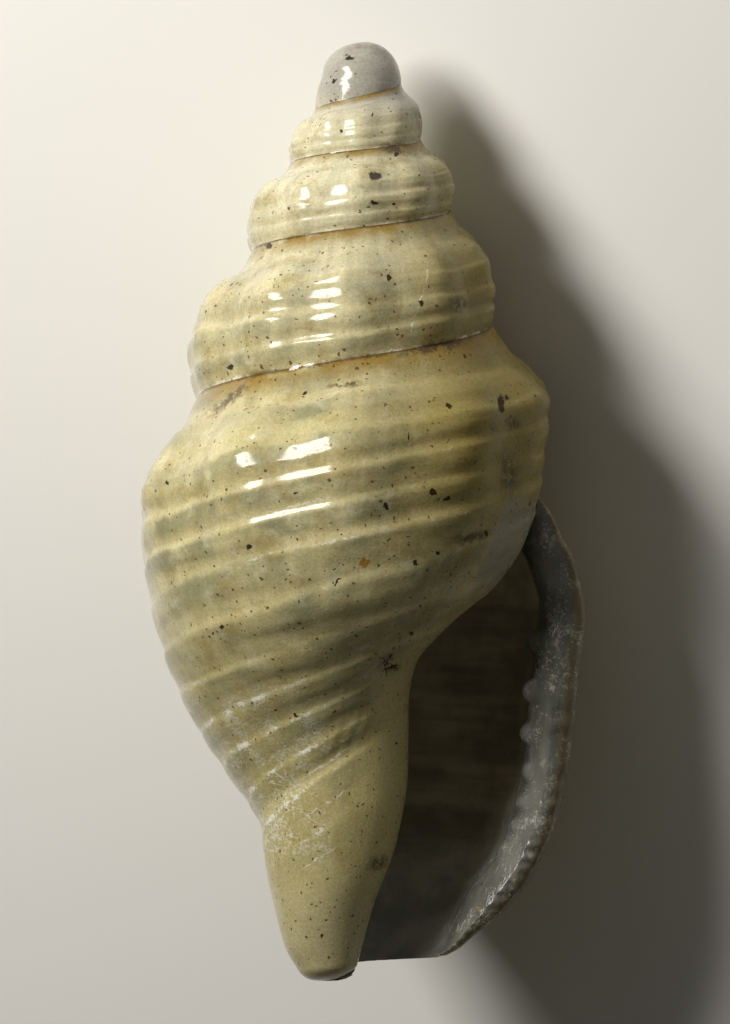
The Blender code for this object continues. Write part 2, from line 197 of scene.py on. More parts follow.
# Cavity: turn, share of the lip, part of its width, share of the teeth, gap to the whorl inside
CAVITY_STATIONS = (
    (-0.650, 0.00, 1.00, 0.00, -0.010),
    (-0.130, 0.00, 1.00, 0.00, -0.010),
    (-0.085, 0.05, 1.00, 0.00, -0.010),
    (-0.058, 0.30, 1.00, 0.00, -0.010),
    (-0.036, 0.75, 1.00, 0.30, -0.010),
    (-0.020, 0.98, 1.00, 0.90, -0.010),
    (-0.010, 1.00, 1.00, 1.00, -0.010),
    (-0.003, 1.00, 0.98, 0.95, -0.009),
    (0.002, 1.00, 0.93, 0.80, -0.008),
    (0.006, 1.00, 0.84, 0.50, -0.006),
    (0.010, 1.00, 0.70, 0.15, 0.002),
    (0.012, 1.00, 0.58, 0.05, 0.005),
    (0.014, 1.00, 0.42, 0.00, 0.008),
    (0.018, 1.00, 0.34, 0.00, 0.012),
    (0.060, 1.00, 0.20, 0.00, 0.060),
)
# Runs of stations: from turn, to turn, how many
CAVITY_TURNS = ((-0.65, -0.10, 28), (-0.09, 0.024, 39), (0.04, 0.06, 2))
# The cavity starts where it is this wide, and stays at least so wide further down
CAVITY_OPENING = 0.02
CAVITY_LEAST = 0.015
# Depths past the end of the canal, and where the cavity ends at each turn
CANAL_STEPS = (8.30, 8.38, 8.43, 8.47, 8.50, 8.53, 8.90)
CANAL_END = ((-0.650, 7.00), (-0.500, 7.50), (-0.420, 7.90), (-0.360, 8.30), (0.060, 8.30))

# Resting pose: turned about the axis, then tipped, then moved over the ground
REST_ROLL = math.radians(17.0)
REST_PITCH = math.radians(-14.0)
REST_SHIFT = Vector((-0.1023, 4.1637, 0.8481))
TURNED = Matrix.Rotation(REST_PITCH, 4, "X") @ Matrix.Rotation(REST_ROLL, 4, "Y")
LAID = Matrix.Scale(MM, 4) @ Matrix.Translation(REST_SHIFT) @ TURNED

# Picture: its middle on the shell, its height, and how far the axis leans in it
PICTURE_MIDDLE = (0.1605, -4.262)
PICTURE_HEIGHT = 9.292
PICTURE_LEAN = math.radians(2.4)
FLOOR_SIZE = 0.6
SENSOR_WIDTH = 36.0
# Lights: name, direction from the shell, width and height in metres, share of the key power, colour
LIGHTS = (
    ("key_light", (-0.78, 0.52, 0.75), 0.009, 0.016, 1.0, (1.0, 0.97, 0.90)),
    ("fill_light", (0.8, 0.3, 0.9), 0.03, 0.03, 0.012, (1.0, 0.93, 0.80)),
    ("top_light", (-0.1, 0.4, 1.0), 0.04, 0.04, 0.085, (1.0, 0.97, 0.90)),
)
LIGHT_DISTANCE = 0.03

# Photograph: pixels in a millimetre by its scale bar, and the pixel of the apex
PIXELS_PER_MM = 110.2
APEX_PIXEL = (367.0, 42.0)
# Marks as read in the photograph, in its pixels: across, down, half width, half height,
# and lean in degrees
MARKS = (
    (250, 546.5, 3.3, 2.2, 40), (432, 492, 3.3, 3.3, 0), (445.5, 499, 3.3, 2.2, 0),
    (448, 407, 3.3, 2.2, -30), (500, 405, 3.3, 9, 8), (505.5, 399, 2.2, 2.2, 0),
    (295.5, 449, 2.2, 2.2, 0), (297, 493, 2.2, 1.1, 0), (169, 483, 2.2, 2.2, 0),
    (408, 437, 1.1, 4.5, 0), (386, 506, 2.2, 4.5, 0), (414.5, 562, 2.2, 3.3, 0),
    (337.5, 581, 1.1, 5.5, -35), (437, 552.5, 2.2, 2.2, 0), (222.5, 626, 2.2, 2.2, 0),
    (213, 632.5, 1.1, 1.1, 0), (411, 633, 2.2, 2.2, -30), (305, 394, 3.3, 1.1, 20),
    (485, 534, 2.2, 3.3, 20), (349, 59, 4.5, 2.2, 0), (334, 83, 2.2, 2.2, 0),
    (341, 132.5, 2.2, 1.1, 0), (373, 116.5, 1.1, 2.2, 0), (395.5, 156, 2.2, 2.2, 0),
    (375, 177.5, 6.5, 4.5, 0), (374, 205, 3.3, 2.2, 0), (394.5, 206, 2.2, 2.2, 0),
    (269, 246.5, 3.3, 3.3, 0), (389, 279, 2.2, 3.3, -15), (231, 368, 3.3, 2.2, 0),
    (420.5, 115, 2.2, 3.3, 10), (421, 305, 2.2, 3.3, 30), (322.5, 935, 2.2, 2.2, 0),
    (296, 714, 2.2, 2.2, 0), (396, 742.5, 1.1, 1.1, 0), (398, 796, 1.1, 1.1, 0),
    # A tangle of brown hairs beside the aperture
    (389.5, 663, 0.7, 12, 60), (387.5, 660.5, 0.7, 11, -25), (392.5, 666, 0.6, 10, -70),
    (385, 667, 0.7, 9, 15),
)
SMUDGES = (
    (390, 663, 12, 10, 0), (512, 425, 8, 7, 0), (492, 430, 4.5, 5.5, 0), (508, 475, 12, 25, 10),
    (470, 537, 25, 6.5, 15), (460, 305, 13, 9, 0), (421, 118, 8, 13, 0), (345, 386, 22, 3.5, 8),
    (378, 862, 12, 8, 30), (430, 350, 40, 4.5, 12), (230, 400, 33, 5.5, 40), (395, 150, 18, 7, 0),
)
# White scratches: across, down, half width, half height and lean; the wide one at 327, 762 is a painted
# highlight along a cord's crest
SCRATCHES_AND_HIGHLIGHT = (
    (293, 802, 1.0, 29, 8), (327, 762, 1.3, 33, -54), (327, 802, 1.2, 30, -55),
    (310, 838, 1.2, 12, -60), (321, 856, 1.0, 22, -54), (280, 820, 0.9, 18, -34),
    (287, 811, 0.8, 14, -70), (280, 775, 0.9, 12, 60), (269, 760, 1.3, 16, -50),
    (315, 697, 1.2, 16, -62), (427, 275, 0.9, 12, 4), (420, 302, 0.9, 14, -16),
    (412, 327, 0.9, 10, -12), (338, 540, 1.4, 30, -76), (300, 505, 1.4, 42, -74),
    (262, 556, 1.6, 16, -68),
)
ORANGE_MARKS = (
    (364, 562, 6.0, 5.5, 20),
)
# Zones of the outside, each with its own finish: name, from depth, to depth
ZONES = (
    ("shell_spire", -1.0, 2.5),
    ("shell_body", 2.5, 5.2),
    ("shell_base", 5.2, 9.0),
)
FINISHES = tuple(name for name, low, high in ZONES) + ("shell_lip", "shell_hollow")


def smooth_curve(stops, heights, place):
    """Smooth curve through the points that never overshoots; one curve per column."""
    stops = np.asarray(stops, dtype=float)
    heights = np.asarray(heights, dtype=float)
    single = heights.ndim == 1
    if single:
        heights = heights[:, None]
    place = np.clip(np.atleast_1d(place), stops[0], stops[-1])
    steps = np.diff(stops)[:, None]
    slopes = np.diff(heights, axis=0) / steps
    product = slopes[:-1] * slopes[1:]
    total = slopes[:-1] + slopes[1:]
    safe_total = np.where(product > 0.0, total, 1.0)
    tangents = np.empty_like(heights)
    tangents[0] = slopes[0]
    tangents[-1] = slopes[-1]
    tangents[1:-1] = np.where(product > 0.0, 2.0 * product / safe_total, 0.0)
    cell = np.clip(np.searchsorted(stops, place, side="right") - 1, 0, len(steps) - 1)
    part = ((place - stops[cell]) / steps[cell, 0])[:, None]
    rise = heights[cell + 1] - heights[cell]
    start = tangents[cell] * steps[cell]
    end = tangents[cell + 1] * steps[cell]
    curve = part * start + part ** 2 * (3.0 * rise - 2.0 * start - end)
    curve = heights[cell] + curve + part ** 3 * (start + end - 2.0 * rise)
    return curve[:, 0] if single else curve


def smooth_step(low, high, value):
    """Rise from 0 at low to 1 at high."""
    part = np.clip((value - low) / (high - low), 0.0, 1.0)
    return part * part * (3.0 - 2.0 * part)


def suture(turns):
    """Depth and radius of the suture."""
    stops, depths, radii = zip(*SUTURE)
    return smooth_curve(stops, depths, turns), smooth_curve(stops, radii, turns)


def whorl_bulge(turns, steps):
    """How far the whorl stands out, a row of steps for each turn."""
    spire = smooth_curve(PROFILE_STEPS, SPIRE_PROFILE, steps)
    stops, sizes = zip(*SPIRE_PROFILE_SIZE)
    upper = smooth_curve(stops, sizes, turns)[:, None] * spire[None, :]
    keys = [spire] + [smooth_curve(PROFILE_STEPS, row, steps) for turn, row in BODY_PROFILES]
    key_turns = [stops[-1]] + [turn for turn, row in BODY_PROFILES]
    lower = smooth_curve(key_turns, keys, turns)
    return np.where(turns[:, None] <= stops[-1], upper, lower)


def base_curve(turns, steps):
    """Depth and radius on the base and canal, below the whorl."""
    key_turns = [turn for turn, points in BASE_SECTIONS]
    curves = []
    for axis in (0, 1):
        table = [[point[axis] for point in points] for turn, points in BASE_SECTIONS]
        below = smooth_curve(key_turns, table, turns).T
        heights = np.vstack((suture(turns + 1.0)[axis][None, :], below))
        curves.append(smooth_curve((1.0,) + BASE_STEPS, heights, steps).T)
    return curves


def plain_section(turns, steps):
    """Depth and radius of the outer surface without its sculpture."""
    turns = np.minimum(np.atleast_1d(turns), 0.0)
    upper_depth, upper_radius = suture(turns)
    lower_depth, lower_radius = suture(turns + 1.0)
    part = np.clip(steps, 0.0, 1.0)
    depth = upper_depth[:, None] + np.outer(lower_depth - upper_depth, part)
    radius = upper_radius[:, None] + np.outer(lower_radius - upper_radius, part)
    radius = radius + whorl_bulge(turns, part)
    if np.max(steps) > 1.0:
        base_depth, base_radius = base_curve(turns, np.maximum(steps, 1.0))
        depth = np.where(steps > 1.0, base_depth, depth)
        radius = np.where(steps > 1.0, base_radius, radius)
    return depth, radius


def drift(turn, step):
    """Slow uneven wander over the shell, from about -1 to 1."""
    first = np.sin(9.7 * turn + 4.1 * step + 1.3) * np.cos(5.3 * turn - 6.9 * step)
    second = np.sin(23.1 * turn - 7.7 * step + 0.4) * np.cos(14.9 * turn + 11.3 * step)
    return 0.6 * first + 0.4 * second


def cord_phase(turn, step):
    """Number of cords counted down from the suture."""
    slant = sum(rise * smooth_step(low, high, step) for low, high, rise in CORD_SLANT)
    reach = sum(rise * smooth_step(low, high, turn) for low, high, rise in SLANT_TURNS)
    return CORDS_PER_WHORL * (step - WIDER_SHARE * np.maximum(step - WIDER_PAST, 0.0) - slant * reach)


def rib_pattern(turn, step):
    """Ribs across the whorl, fading below its middle and before the lip."""
    wander = RIB_WANDER * drift(turn, step)
    rib = 0.5 + 0.5 * np.cos(2.0 * math.pi * (RIBS_PER_TURN * turn - 0.5 + wander))
    rib = rib * smooth_step(*SCULPTURE_START, turn) * (1.0 - 0.7 * smooth_step(*RIBS_WEAKEN, turn))
    rib = rib * (1.0 - smooth_step(*RIBS_END, turn))
    return rib * smooth_step(*RIB_TOP, step) * (1.0 - smooth_step(*RIB_FOOT, step))


def callus_cover(turn, step):
    """1 where the smooth callus beside the aperture covers the cords."""
    past = turn + 1.0
    edge = 0.08 + 0.13 * smooth_step(*CALLUS_WIDENS, step)
    soft = 0.03 + 0.05 * smooth_step(*CALLUS_WIDENS, step)
    callus = 1.0 - smooth_step(edge - soft, edge + soft, past)
    return callus * smooth_step(1.0, 1.2, step) * smooth_step(-0.01, 0.0, past)


def cord_pattern(turn, step, rib):
    """Cords from groove to crest, stronger over the ribs and weaker near the lip."""
    part = np.mod(cord_phase(turn, step) + CORD_WANDER * drift(turn, step), 1.0)
    cord = smooth_step(0.0, CORD_EDGE, part) - smooth_step(CORD_SLOPE, CORD_GROOVE, part) - 0.5
    cord = cord * smooth_step(0.0, 0.1, step) * (0.55 + 0.45 * smooth_step(0.3, 0.5, step) + 0.5 * rib)
    cord = cord * (1.0 - smooth_step(LAST_CORD_STEP - 0.8, LAST_CORD_STEP, step))
    lip_fade = (0.35 + 0.4 * smooth_step(1.5, 2.4, step)) * smooth_step(-0.15, 0.0, turn)
    cord = cord * smooth_step(*SCULPTURE_START, turn) * (1.0 - lip_fade)
    cord = cord * (1.0 - 0.3 * smooth_step(1.2, 2.6, step)) * (1.0 + 0.45 * drift(turn + 3.0, step))
    return cord * (1.0 - callus_cover(turn, step))


def lump_pattern(turn, step):
    """Slow uneven lumps, gone on the canal."""
    lump = drift(2.1 * turn + 5.0, 1.4 * step) + 0.5 * drift(5.2 * turn + 2.0, 3.3 * step)
    lump = lump * smooth_step(*SCULPTURE_START, turn) * smooth_step(0.1, 0.3, step)
    return lump * (1.0 - smooth_step(1.6, 2.6, step))


def growth_pattern(turn, step):
    """Fine growth marks, in patches."""
    wave = GROWTH_MARKS * turn + 0.9 * np.sin(3.0 * step)
    growth = np.sin(2.0 * math.pi * wave + 2.0 * drift(turn, step))
    patches = np.clip(drift(1.7 * turn, 0.6 * step), 0.0, 1.0)
    growth = growth * patches * smooth_step(*SCULPTURE_START, turn)
    return growth * (1.0 - smooth_step(3.2, 4.0, step))


def relief(turns, steps, shape):
    """Height of ribs, cords, lumps and growth marks above the plain surface."""
    turn = turns[:, None]
    step = steps[None, :]
    spacing = (suture(turns + 1.0)[0] - suture(turns)[0]) / FULL_WHORL
    size = np.clip(spacing, LEAST_SCULPTURE, 1.0)[:, None]
    rib = rib_pattern(turn, step)
    cord = cord_pattern(turn, step, rib)
    growth = growth_pattern(turn, step) + LUMP_SIZE * lump_pattern(turn, step)
    height = shape.rib_height * rib + shape.cord_height * cord + shape.growth_height * growth
    return size * height / MM


def outer_section(turns, steps, shape):
    """Depth and radius of the outer surface with its sculpture."""
    turns = np.atleast_1d(turns)
    depth, radius = plain_section(turns, steps)
    above_depth, above_radius = plain_section(turns, np.maximum(steps - 0.05, 0.0))
    below_depth, below_radius = plain_section(turns, np.minimum(steps + 0.05, BASE_STEPS[-1]))
    run = below_depth - above_depth
    fall = below_radius - above_radius
    length = np.hypot(run, fall)
    height = relief(turns, steps, shape)
    return depth - height * fall / length, radius + height * run / length


def lip_width(depths):
    """Distance from the outside of the lip to its inner edge."""
    stops, widths = zip(*LIP_WIDTH)
    return smooth_curve(stops, widths, depths)


def wall_thickness(depths, lip_share, width_part, tooth_share):
    """Thickness of the wall, swollen at the outer lip and carrying its teeth."""
    thickness = WALL + (lip_width(depths) * width_part - WALL) * lip_share
    for tooth_depth, height, width in TEETH:
        knob = np.clip(1.0 - ((depths - tooth_depth) / width) ** 2, 0.0, 1.0) ** 0.8
        thickness = thickness + tooth_share * height * knob
    thinning = smooth_step(*CANAL_THINNING, depths)
    return thickness + (np.minimum(thickness, CANAL_RIM) - thickness) * thinning


def wound(turns, depths, radii):
    """Points in the shell's own axes, apex toward +Y and aperture toward +Z."""
    angles = 2.0 * math.pi * np.asarray(turns)
    return np.stack((radii * np.cos(angles), -depths, radii * np.sin(angles)), axis=-1)


def deselect():
    """Leave every object unselected, in object mode."""
    if bpy.context.object and bpy.context.object.mode != "OBJECT":
        bpy.ops.object.mode_set(mode="OBJECT")
    bpy.ops.object.select_all(action="DESELECT")


def wind_sheet(name, places, turns, steps, finish=None):
    """Sheet added as a flat grid, then wound into the shell.

    places holds one point for each turn and step; the UV map keeps the turn and the step.
    Its faces take the given finish, or else that of the zone they lie in.
    """
    deselect()
    columns, rows = places.shape[:2]
    bpy.ops.mesh.primitive_grid_add(
        x_subdivisions=columns - 1, y_subdivisions=rows - 1, size=2.0, calc_uvs=True)
    sheet = bpy.context.object
    sheet.name = name
    mesh = sheet.data
    flat = np.empty(len(mesh.vertices) * 3)
    mesh.vertices.foreach_get("co", flat)
    flat = flat.reshape(-1, 3)
    column = np.rint((flat[:, 0] + 1.0) / 2.0 * (columns - 1)).astype(int)
    row = np.rint((flat[:, 1] + 1.0) / 2.0 * (rows - 1)).astype(int)
    points = places[column, row]
    laid = np.array(LAID)
    points = points @ laid[:3, :3].T + laid[:3, 3]
    mesh.vertices.foreach_set("co", points.ravel())
    centres = np.empty(len(mesh.polygons) * 3)
    mesh.update()
    mesh.polygons.foreach_get("center", centres)
    depths = -((centres.reshape(-1, 3) - laid[:3, 3]) @ np.linalg.inv(laid[:3, :3]).T)[:, 1]
    if finish is None:
        zones = np.searchsorted([high for name, low, high in ZONES[:-1]], depths)
    else:
        zones = np.full(len(depths), FINISHES.index(finish))
    for finish_name in FINISHES:
        mesh.materials.append(bpy.data.materials[finish_name])
    mesh.polygons.foreach_set("material_index", zones.astype(int))
    corners = np.empty(len(mesh.loops), dtype=int)
    mesh.loops.foreach_get("vertex_index", corners)
    coil = mesh.uv_layers[0]
    coil.name = "coil"
    coordinates = np.stack((turns[column], steps[row]), axis=-1)[corners]
    coil.uv.foreach_set("vector", coordinates.ravel())
    return sheet


def weld(pieces, name):
    """Join sheets along their seams and close what is open."""
    deselect()
    for piece in pieces:
        piece.select_set(True)
    bpy.context.view_layer.objects.active = pieces[0]
    bpy.ops.object.join()
    whole = bpy.context.object
    whole.name = name
    whole.data.name = name
    bpy.ops.object.mode_set(mode="EDIT")
    bpy.ops.mesh.select_all(action="SELECT")
    bpy.ops.mesh.remove_doubles(threshold=0.000001)
    bpy.ops.mesh.select_all(action="DESELECT")
    bpy.ops.mesh.select_non_manifold(
        use_wire=False, use_multi_face=False, use_non_contiguous=False, use_verts=False)
    bpy.ops.mesh.fill(use_beauty=False)
    whole.active_material_index = FINISHES.index("shell_lip")
    bpy.ops.object.material_slot_assign()
    bpy.ops.mesh.select_all(action="SELECT")
    bpy.ops.mesh.normals_make_consistent(inside=False)
    bpy.ops.object.mode_set(mode="OBJECT")
    return whole


def outer_steps(rows):
    """Steps from the suture to the end of the canal, the same spacing on whorl and base."""
    whorl = np.linspace(0.0, 1.0, rows + 1)
    base_rows = int(round((BASE_STEPS[-1] - 1.0) * rows * 0.8))
    return whorl, np.linspace(1.0, BASE_STEPS[-1], base_rows + 1)[1:]


def closed_on_suture(places, turns):
    """Give the last row of each upper whorl the points of the suture below it."""
    depths, radii = suture(turns + 1.0)
    places[:, -1] = wound(turns, depths, radii)
    return places


def spire_sheet(shape):
    """The upper whorls, each ending on the suture of the next."""
    columns = int(-FIRST_TURN - 1.0) * shape.columns
    turns = np.linspace(FIRST_TURN, -1.0, columns + 1)
    steps = outer_steps(shape.rows)[0]
    depths, radii = outer_section(turns, steps, shape)
    places = closed_on_suture(wound(turns[:, None], depths, radii), turns)
    # Where the first whorl is still a thin wedge, rows closer than the welding distance share their points
    gaps = suture(turns + 1.0)[0] - suture(turns)[0]
    for column in np.flatnonzero(gaps < ROW_GAP * shape.rows):
        parts = max(1, int(gaps[column] / ROW_GAP))
        kept = np.rint(np.rint(steps * parts) / parts * shape.rows).astype(int)
        places[column] = places[column, kept]
    places[0] = places[0, -1]
    return wind_sheet("spire", places, turns, steps)


def body_places(shape):
    """Turns, steps and points of the last whorl with its base and canal."""
    turns = np.linspace(-1.0, 0.0, shape.columns + 1)
    whorl, base = outer_steps(shape.rows)
    steps = np.concatenate((whorl, base))
    depths, radii = outer_section(turns, steps, shape)
    places = wound(turns[:, None], depths, radii)
    depth, radius = suture(0.0)
    places[0, shape.rows] = wound(0.0, depth[0], radius[0])
    return turns, steps, places


def lip_places(steps, shape):
    """Turns and points of the rolled edge of the lip, narrowing to nothing at the suture."""
    depths, radii = outer_section(0.0, steps, shape)
    depths = depths[0]
    radii = radii[0]
    part = np.minimum(1.0, 0.25 * np.minimum(1.0, steps / 0.08) + steps)
    width = np.minimum(lip_width(depths), 0.45)
    swell = 1.0 + 0.06 * np.sin(31.0 * steps) * np.sin(4.3 * steps)
    places = [wound(0.0, depths, radii)]
    turns = [0.0]
    for offset, share in LIP_ROLL:
        places.append(wound(offset * part * swell, depths, radii - share * width * part))
        turns.append(offset)
    return np.array(turns), np.array(places)


def canal_tip_sheet(turns, ends):
    """Rounded end of the canal, closing beside the axis."""
    slopes = np.linspace(TIP_START, 0.5 * math.pi, TIP_RINGS + 1)
    share = np.cos(slopes) / np.cos(slopes[0])
    part = (np.sin(slopes) - np.sin(slopes[0])) / (1.0 - np.sin(slopes[0]))
    reach = np.hypot(ends[:, 0], ends[:, 2])
    fullness = 1.0 + TIP_FULLNESS * smooth_step(0.35, 0.9, reach)[:, None]
    drop = (TIP_DEPTH + ends[:, 1])[:, None] * part ** fullness
    across = ends[:, 0][:, None] * share + TIP_LEAN * (1.0 - share)
    toward = ends[:, 2][:, None] * share
    places = np.stack((across, ends[:, 1][:, None] - drop, toward), axis=-1)
    steps = BASE_STEPS[-1] + np.linspace(0.0, 0.3, TIP_RINGS + 1)
    return wind_sheet("canal_tip", places, turns, steps)


def dome_sheet(shape):
    """Smooth dome over the first whorl, up to the apex."""
    turns = np.linspace(FIRST_TURN, FIRST_TURN + 1.0, shape.columns + 1)
    depths, radii = suture(turns)
    slopes = np.linspace(0.0, 0.5 * math.pi, DOME_RINGS + 1)[::-1]
    dome_depths = depths[:, None] * (1.0 - np.cos(slopes))
    places = wound(turns[:, None], dome_depths, radii[:, None] * np.sin(slopes))
    places[-1] = places[0]
    return wind_sheet("dome", places, turns, np.linspace(0.0, -0.5, DOME_RINGS + 1))


def radius_at(turns, depths):
    """Radius of the plain outer surface of each turn at the given depths."""
    steps = np.linspace(0.0, BASE_STEPS[-1], 400)
    section_depths, section_radii = plain_section(turns, steps)
    rows = zip(np.broadcast_to(depths, (len(turns), np.shape(depths)[-1])), section_depths, section_radii)
    return np.array([np.interp(row, along, out) for row, along, out in rows])


def cavity_tool(shape):
    """Closed tool in the form of the hollow, with its mouth flared at the lip."""
    stops, *columns = zip(*CAVITY_STATIONS)
    turns = np.concatenate([np.linspace(*run) for run in CAVITY_TURNS])
    shares = [smooth_curve(stops, values, turns) for values in columns]
    end_turns, end_depths = zip(*CANAL_END)
    ends = smooth_curve(end_turns, end_depths, turns)
    loops = []
    for turn, share, part, teeth, gap, end in zip(turns, *shares, ends):
        # The hollow starts where its outer side first clears the whorl inside it
        scan = np.linspace(suture(min(turn, 0.0))[0][0], 7.0, 600)
        inner = radius_at(np.array([turn - 1.0]), scan)[0] + gap
        outer = radius_at(np.array([turn]), scan)[0] - wall_thickness(scan, share, part, teeth)
        opening = scan[np.argmax(outer - inner > CAVITY_OPENING)]
        # Only near the mouth does it run out past the end of the canal
        reach = 1.0 if end >= CANAL_STEPS[0] - 0.001 else 0.3
        above = np.linspace(opening, end, shape.cavity_rows)
        below = end + (np.array(CANAL_STEPS[1:]) - CANAL_STEPS[0]) * reach
        depths = np.concatenate((above, below))
        inner = radius_at(np.array([turn - 1.0]), depths)[0] + gap
        past_tip = np.clip((depths - CANAL_STEPS[1]) / (TIP_DEPTH - CANAL_STEPS[1]), 0.0, 0.98)
        inner = inner * np.sqrt(1.0 - past_tip ** 2)
        outer = radius_at(np.array([turn]), depths)[0] - wall_thickness(depths, share, part, teeth)
        outer = np.maximum(outer, inner + CAVITY_LEAST)
        down = wound(turn, depths, inner)
        up = wound(turn, depths, outer)
        loops.append(np.concatenate((down, up[::-1], down[:1])))
    places = np.array(loops)
    around = np.linspace(0.0, 1.0, places.shape[1])
    sheet = wind_sheet("cavity", places, turns, around, "shell_hollow")
    return weld([sheet], "cavity")


def carve(piece, tool):
    """Subtract the tool from the piece and remove the tool."""
    deselect()
    piece.select_set(True)
    bpy.context.view_layer.objects.active = piece
    modifier = piece.modifiers.new("carve", "BOOLEAN")
    modifier.operation = "DIFFERENCE"
    modifier.solver = "EXACT"
    modifier.object = tool
    modifier.material_mode = "TRANSFER"
    bpy.ops.object.modifier_apply(modifier=modifier.name)
    bpy.data.objects.remove(tool, do_unlink=True)


def grind_flat_spot(piece):
    """Cut off what lies below the ground, leaving the small flat spots."""
    deselect()
    piece.select_set(True)
    bpy.context.view_layer.objects.active = piece
    bpy.ops.object.mode_set(mode="EDIT")
    bpy.ops.mesh.select_all(action="SELECT")
    bpy.ops.mesh.bisect(plane_co=(0, 0, 0), plane_no=(0, 0, 1), use_fill=True, clear_inner=True,
                        threshold=0.0000001)
    bpy.ops.object.mode_set(mode="OBJECT")


def opaque(colour):
    """Colour setting with full alpha; a socket stays as it is."""
    return colour if isinstance(colour, bpy.types.NodeSocket) else tuple(colour) + (1.0,)


class Nodes:
    """Short way to add linked nodes to one tree."""

    def __init__(self, tree):
        self.tree = tree
        self.tree.nodes.clear()

    def add(self, kind, *values, plain=False, **settings):
        """Add a node, set its properties, fill its inputs in order and return it."""
        node = self.tree.nodes.new(kind if plain else "ShaderNode" + kind)
        for name, value in settings.items():
            setattr(node, name, value)
        for index, value in enumerate(values):
            self.put(node, index, value)
        return node

    def put(self, node, name, value):
        """Link a socket to the named input, or set the input's own value."""
        if value is None:
            return
        if isinstance(value, bpy.types.NodeSocket):
            self.tree.links.new(value, node.inputs[name])
        else:
            node.inputs[name].default_value = value

    def math(self, operation, first, second=None, clamp=False):
        """One step of arithmetic."""
        return self.add("Math", first, second, operation=operation, use_clamp=clamp).outputs[0]

    def plus(self, first, second):
        """Sum of two values."""
        return self.math("ADD", first, second)

    def minus(self, first, second):
        """First value less the second."""
        return self.math("SUBTRACT", first, second)

    def times(self, *factors):
        """All the factors multiplied."""
        total = factors[0]
        for factor in factors[1:]:
            total = self.math("MULTIPLY", total, factor)
        return total

    def larger(self, first, second):
        """The larger of two values."""
        return self.math("MAXIMUM", first, second)

    def ramp(self, value, low, high, start=0.0, end=1.0):
        """Smooth change from start to end as the value goes from low to high."""
        node = self.add("MapRange", value, low, high, start, end, interpolation_type="SMOOTHSTEP")
        return node.outputs[0]

    def mix(self, share, first, second, blend="MIX"):
        """Mix two colours."""
        node = self.add("Mix", data_type="RGBA", blend_type=blend)
        self.put(node, 0, share)
        self.put(node, 6, opaque(first))
        self.put(node, 7, opaque(second))
        return node.outputs[2]

    def shade(self, colour, brightness):
        """Colour made brighter or darker."""
        grey = self.add("CombineColor", brightness, brightness, brightness).outputs[0]
        return self.mix(1.0, colour, grey, "MULTIPLY")

    def noise(self, place, scale, detail=3.0, roughness=0.5):
        """Soft noise from about 0 to 1."""
        node = self.add("TexNoise")
        self.put(node, "Vector", place)
        self.put(node, "Scale", scale)
        self.put(node, "Detail", detail)
        self.put(node, "Roughness", roughness)
        return node.outputs[0]

    def group(self, tree, **values):
        """Place a node group with its own values."""
        node = self.add("Group", node_tree=tree)
        for name, value in values.items():
            self.put(node, name, value)
        return node

    def give(self, **sockets):
        """Link the named outputs of a node group."""
        given = self.add("NodeGroupOutput", plain=True)
        for name, socket in sockets.items():
            self.put(given, name, socket)

    def shifted(self, place, shift):
        """Place moved along each axis."""
        return self.add("VectorMath", place, shift, operation="ADD").outputs[0]

    def stretched(self, place, scale):
        """Place multiplied along each axis."""
        return self.add("VectorMath", place, scale, operation="MULTIPLY").outputs[0]


def shader_group(name, inputs, outputs):
    """Empty shader node group with named inputs and outputs."""
    tree = bpy.data.node_groups.new(name, "ShaderNodeTree")
    for label, kind, value in inputs:
        socket = tree.interface.new_socket(label, in_out="INPUT", socket_type="NodeSocket" + kind)
        if value is not None:
            socket.default_value = value
    for label, kind in outputs:
        tree.interface.new_socket(label, in_out="OUTPUT", socket_type="NodeSocket" + kind)
    return tree


class ShellShape(bpy.types.PropertyGroup):
    """Fineness and relief of the shell."""

    columns: IntProperty(name="Columns", description="Columns in each turn", default=180, min=24)
    rows: IntProperty(name="Rows", description="Rows from suture to suture", default=48, min=10)
    cavity_rows: IntProperty(name="Hollow rows", description="Rows down the hollow", default=150, min=30)
    cord_height: FloatProperty(
        name="Cord height", description="Height of the spiral cords", default=0.018 * MM,
        unit="LENGTH", precision=6)
    rib_height: FloatProperty(
        name="Rib height", description="Height of the ribs", default=0.080 * MM,
        unit="LENGTH", precision=6)
    growth_height: FloatProperty(
        name="Growth marks", description="Height of the fine growth marks", default=0.004 * MM,
        unit="LENGTH", precision=6)


def colour(name, description, default):
    """Colour setting."""
    return FloatVectorProperty(
        name=name, description=description, subtype="COLOR", default=default, min=0.0, max=1.0)


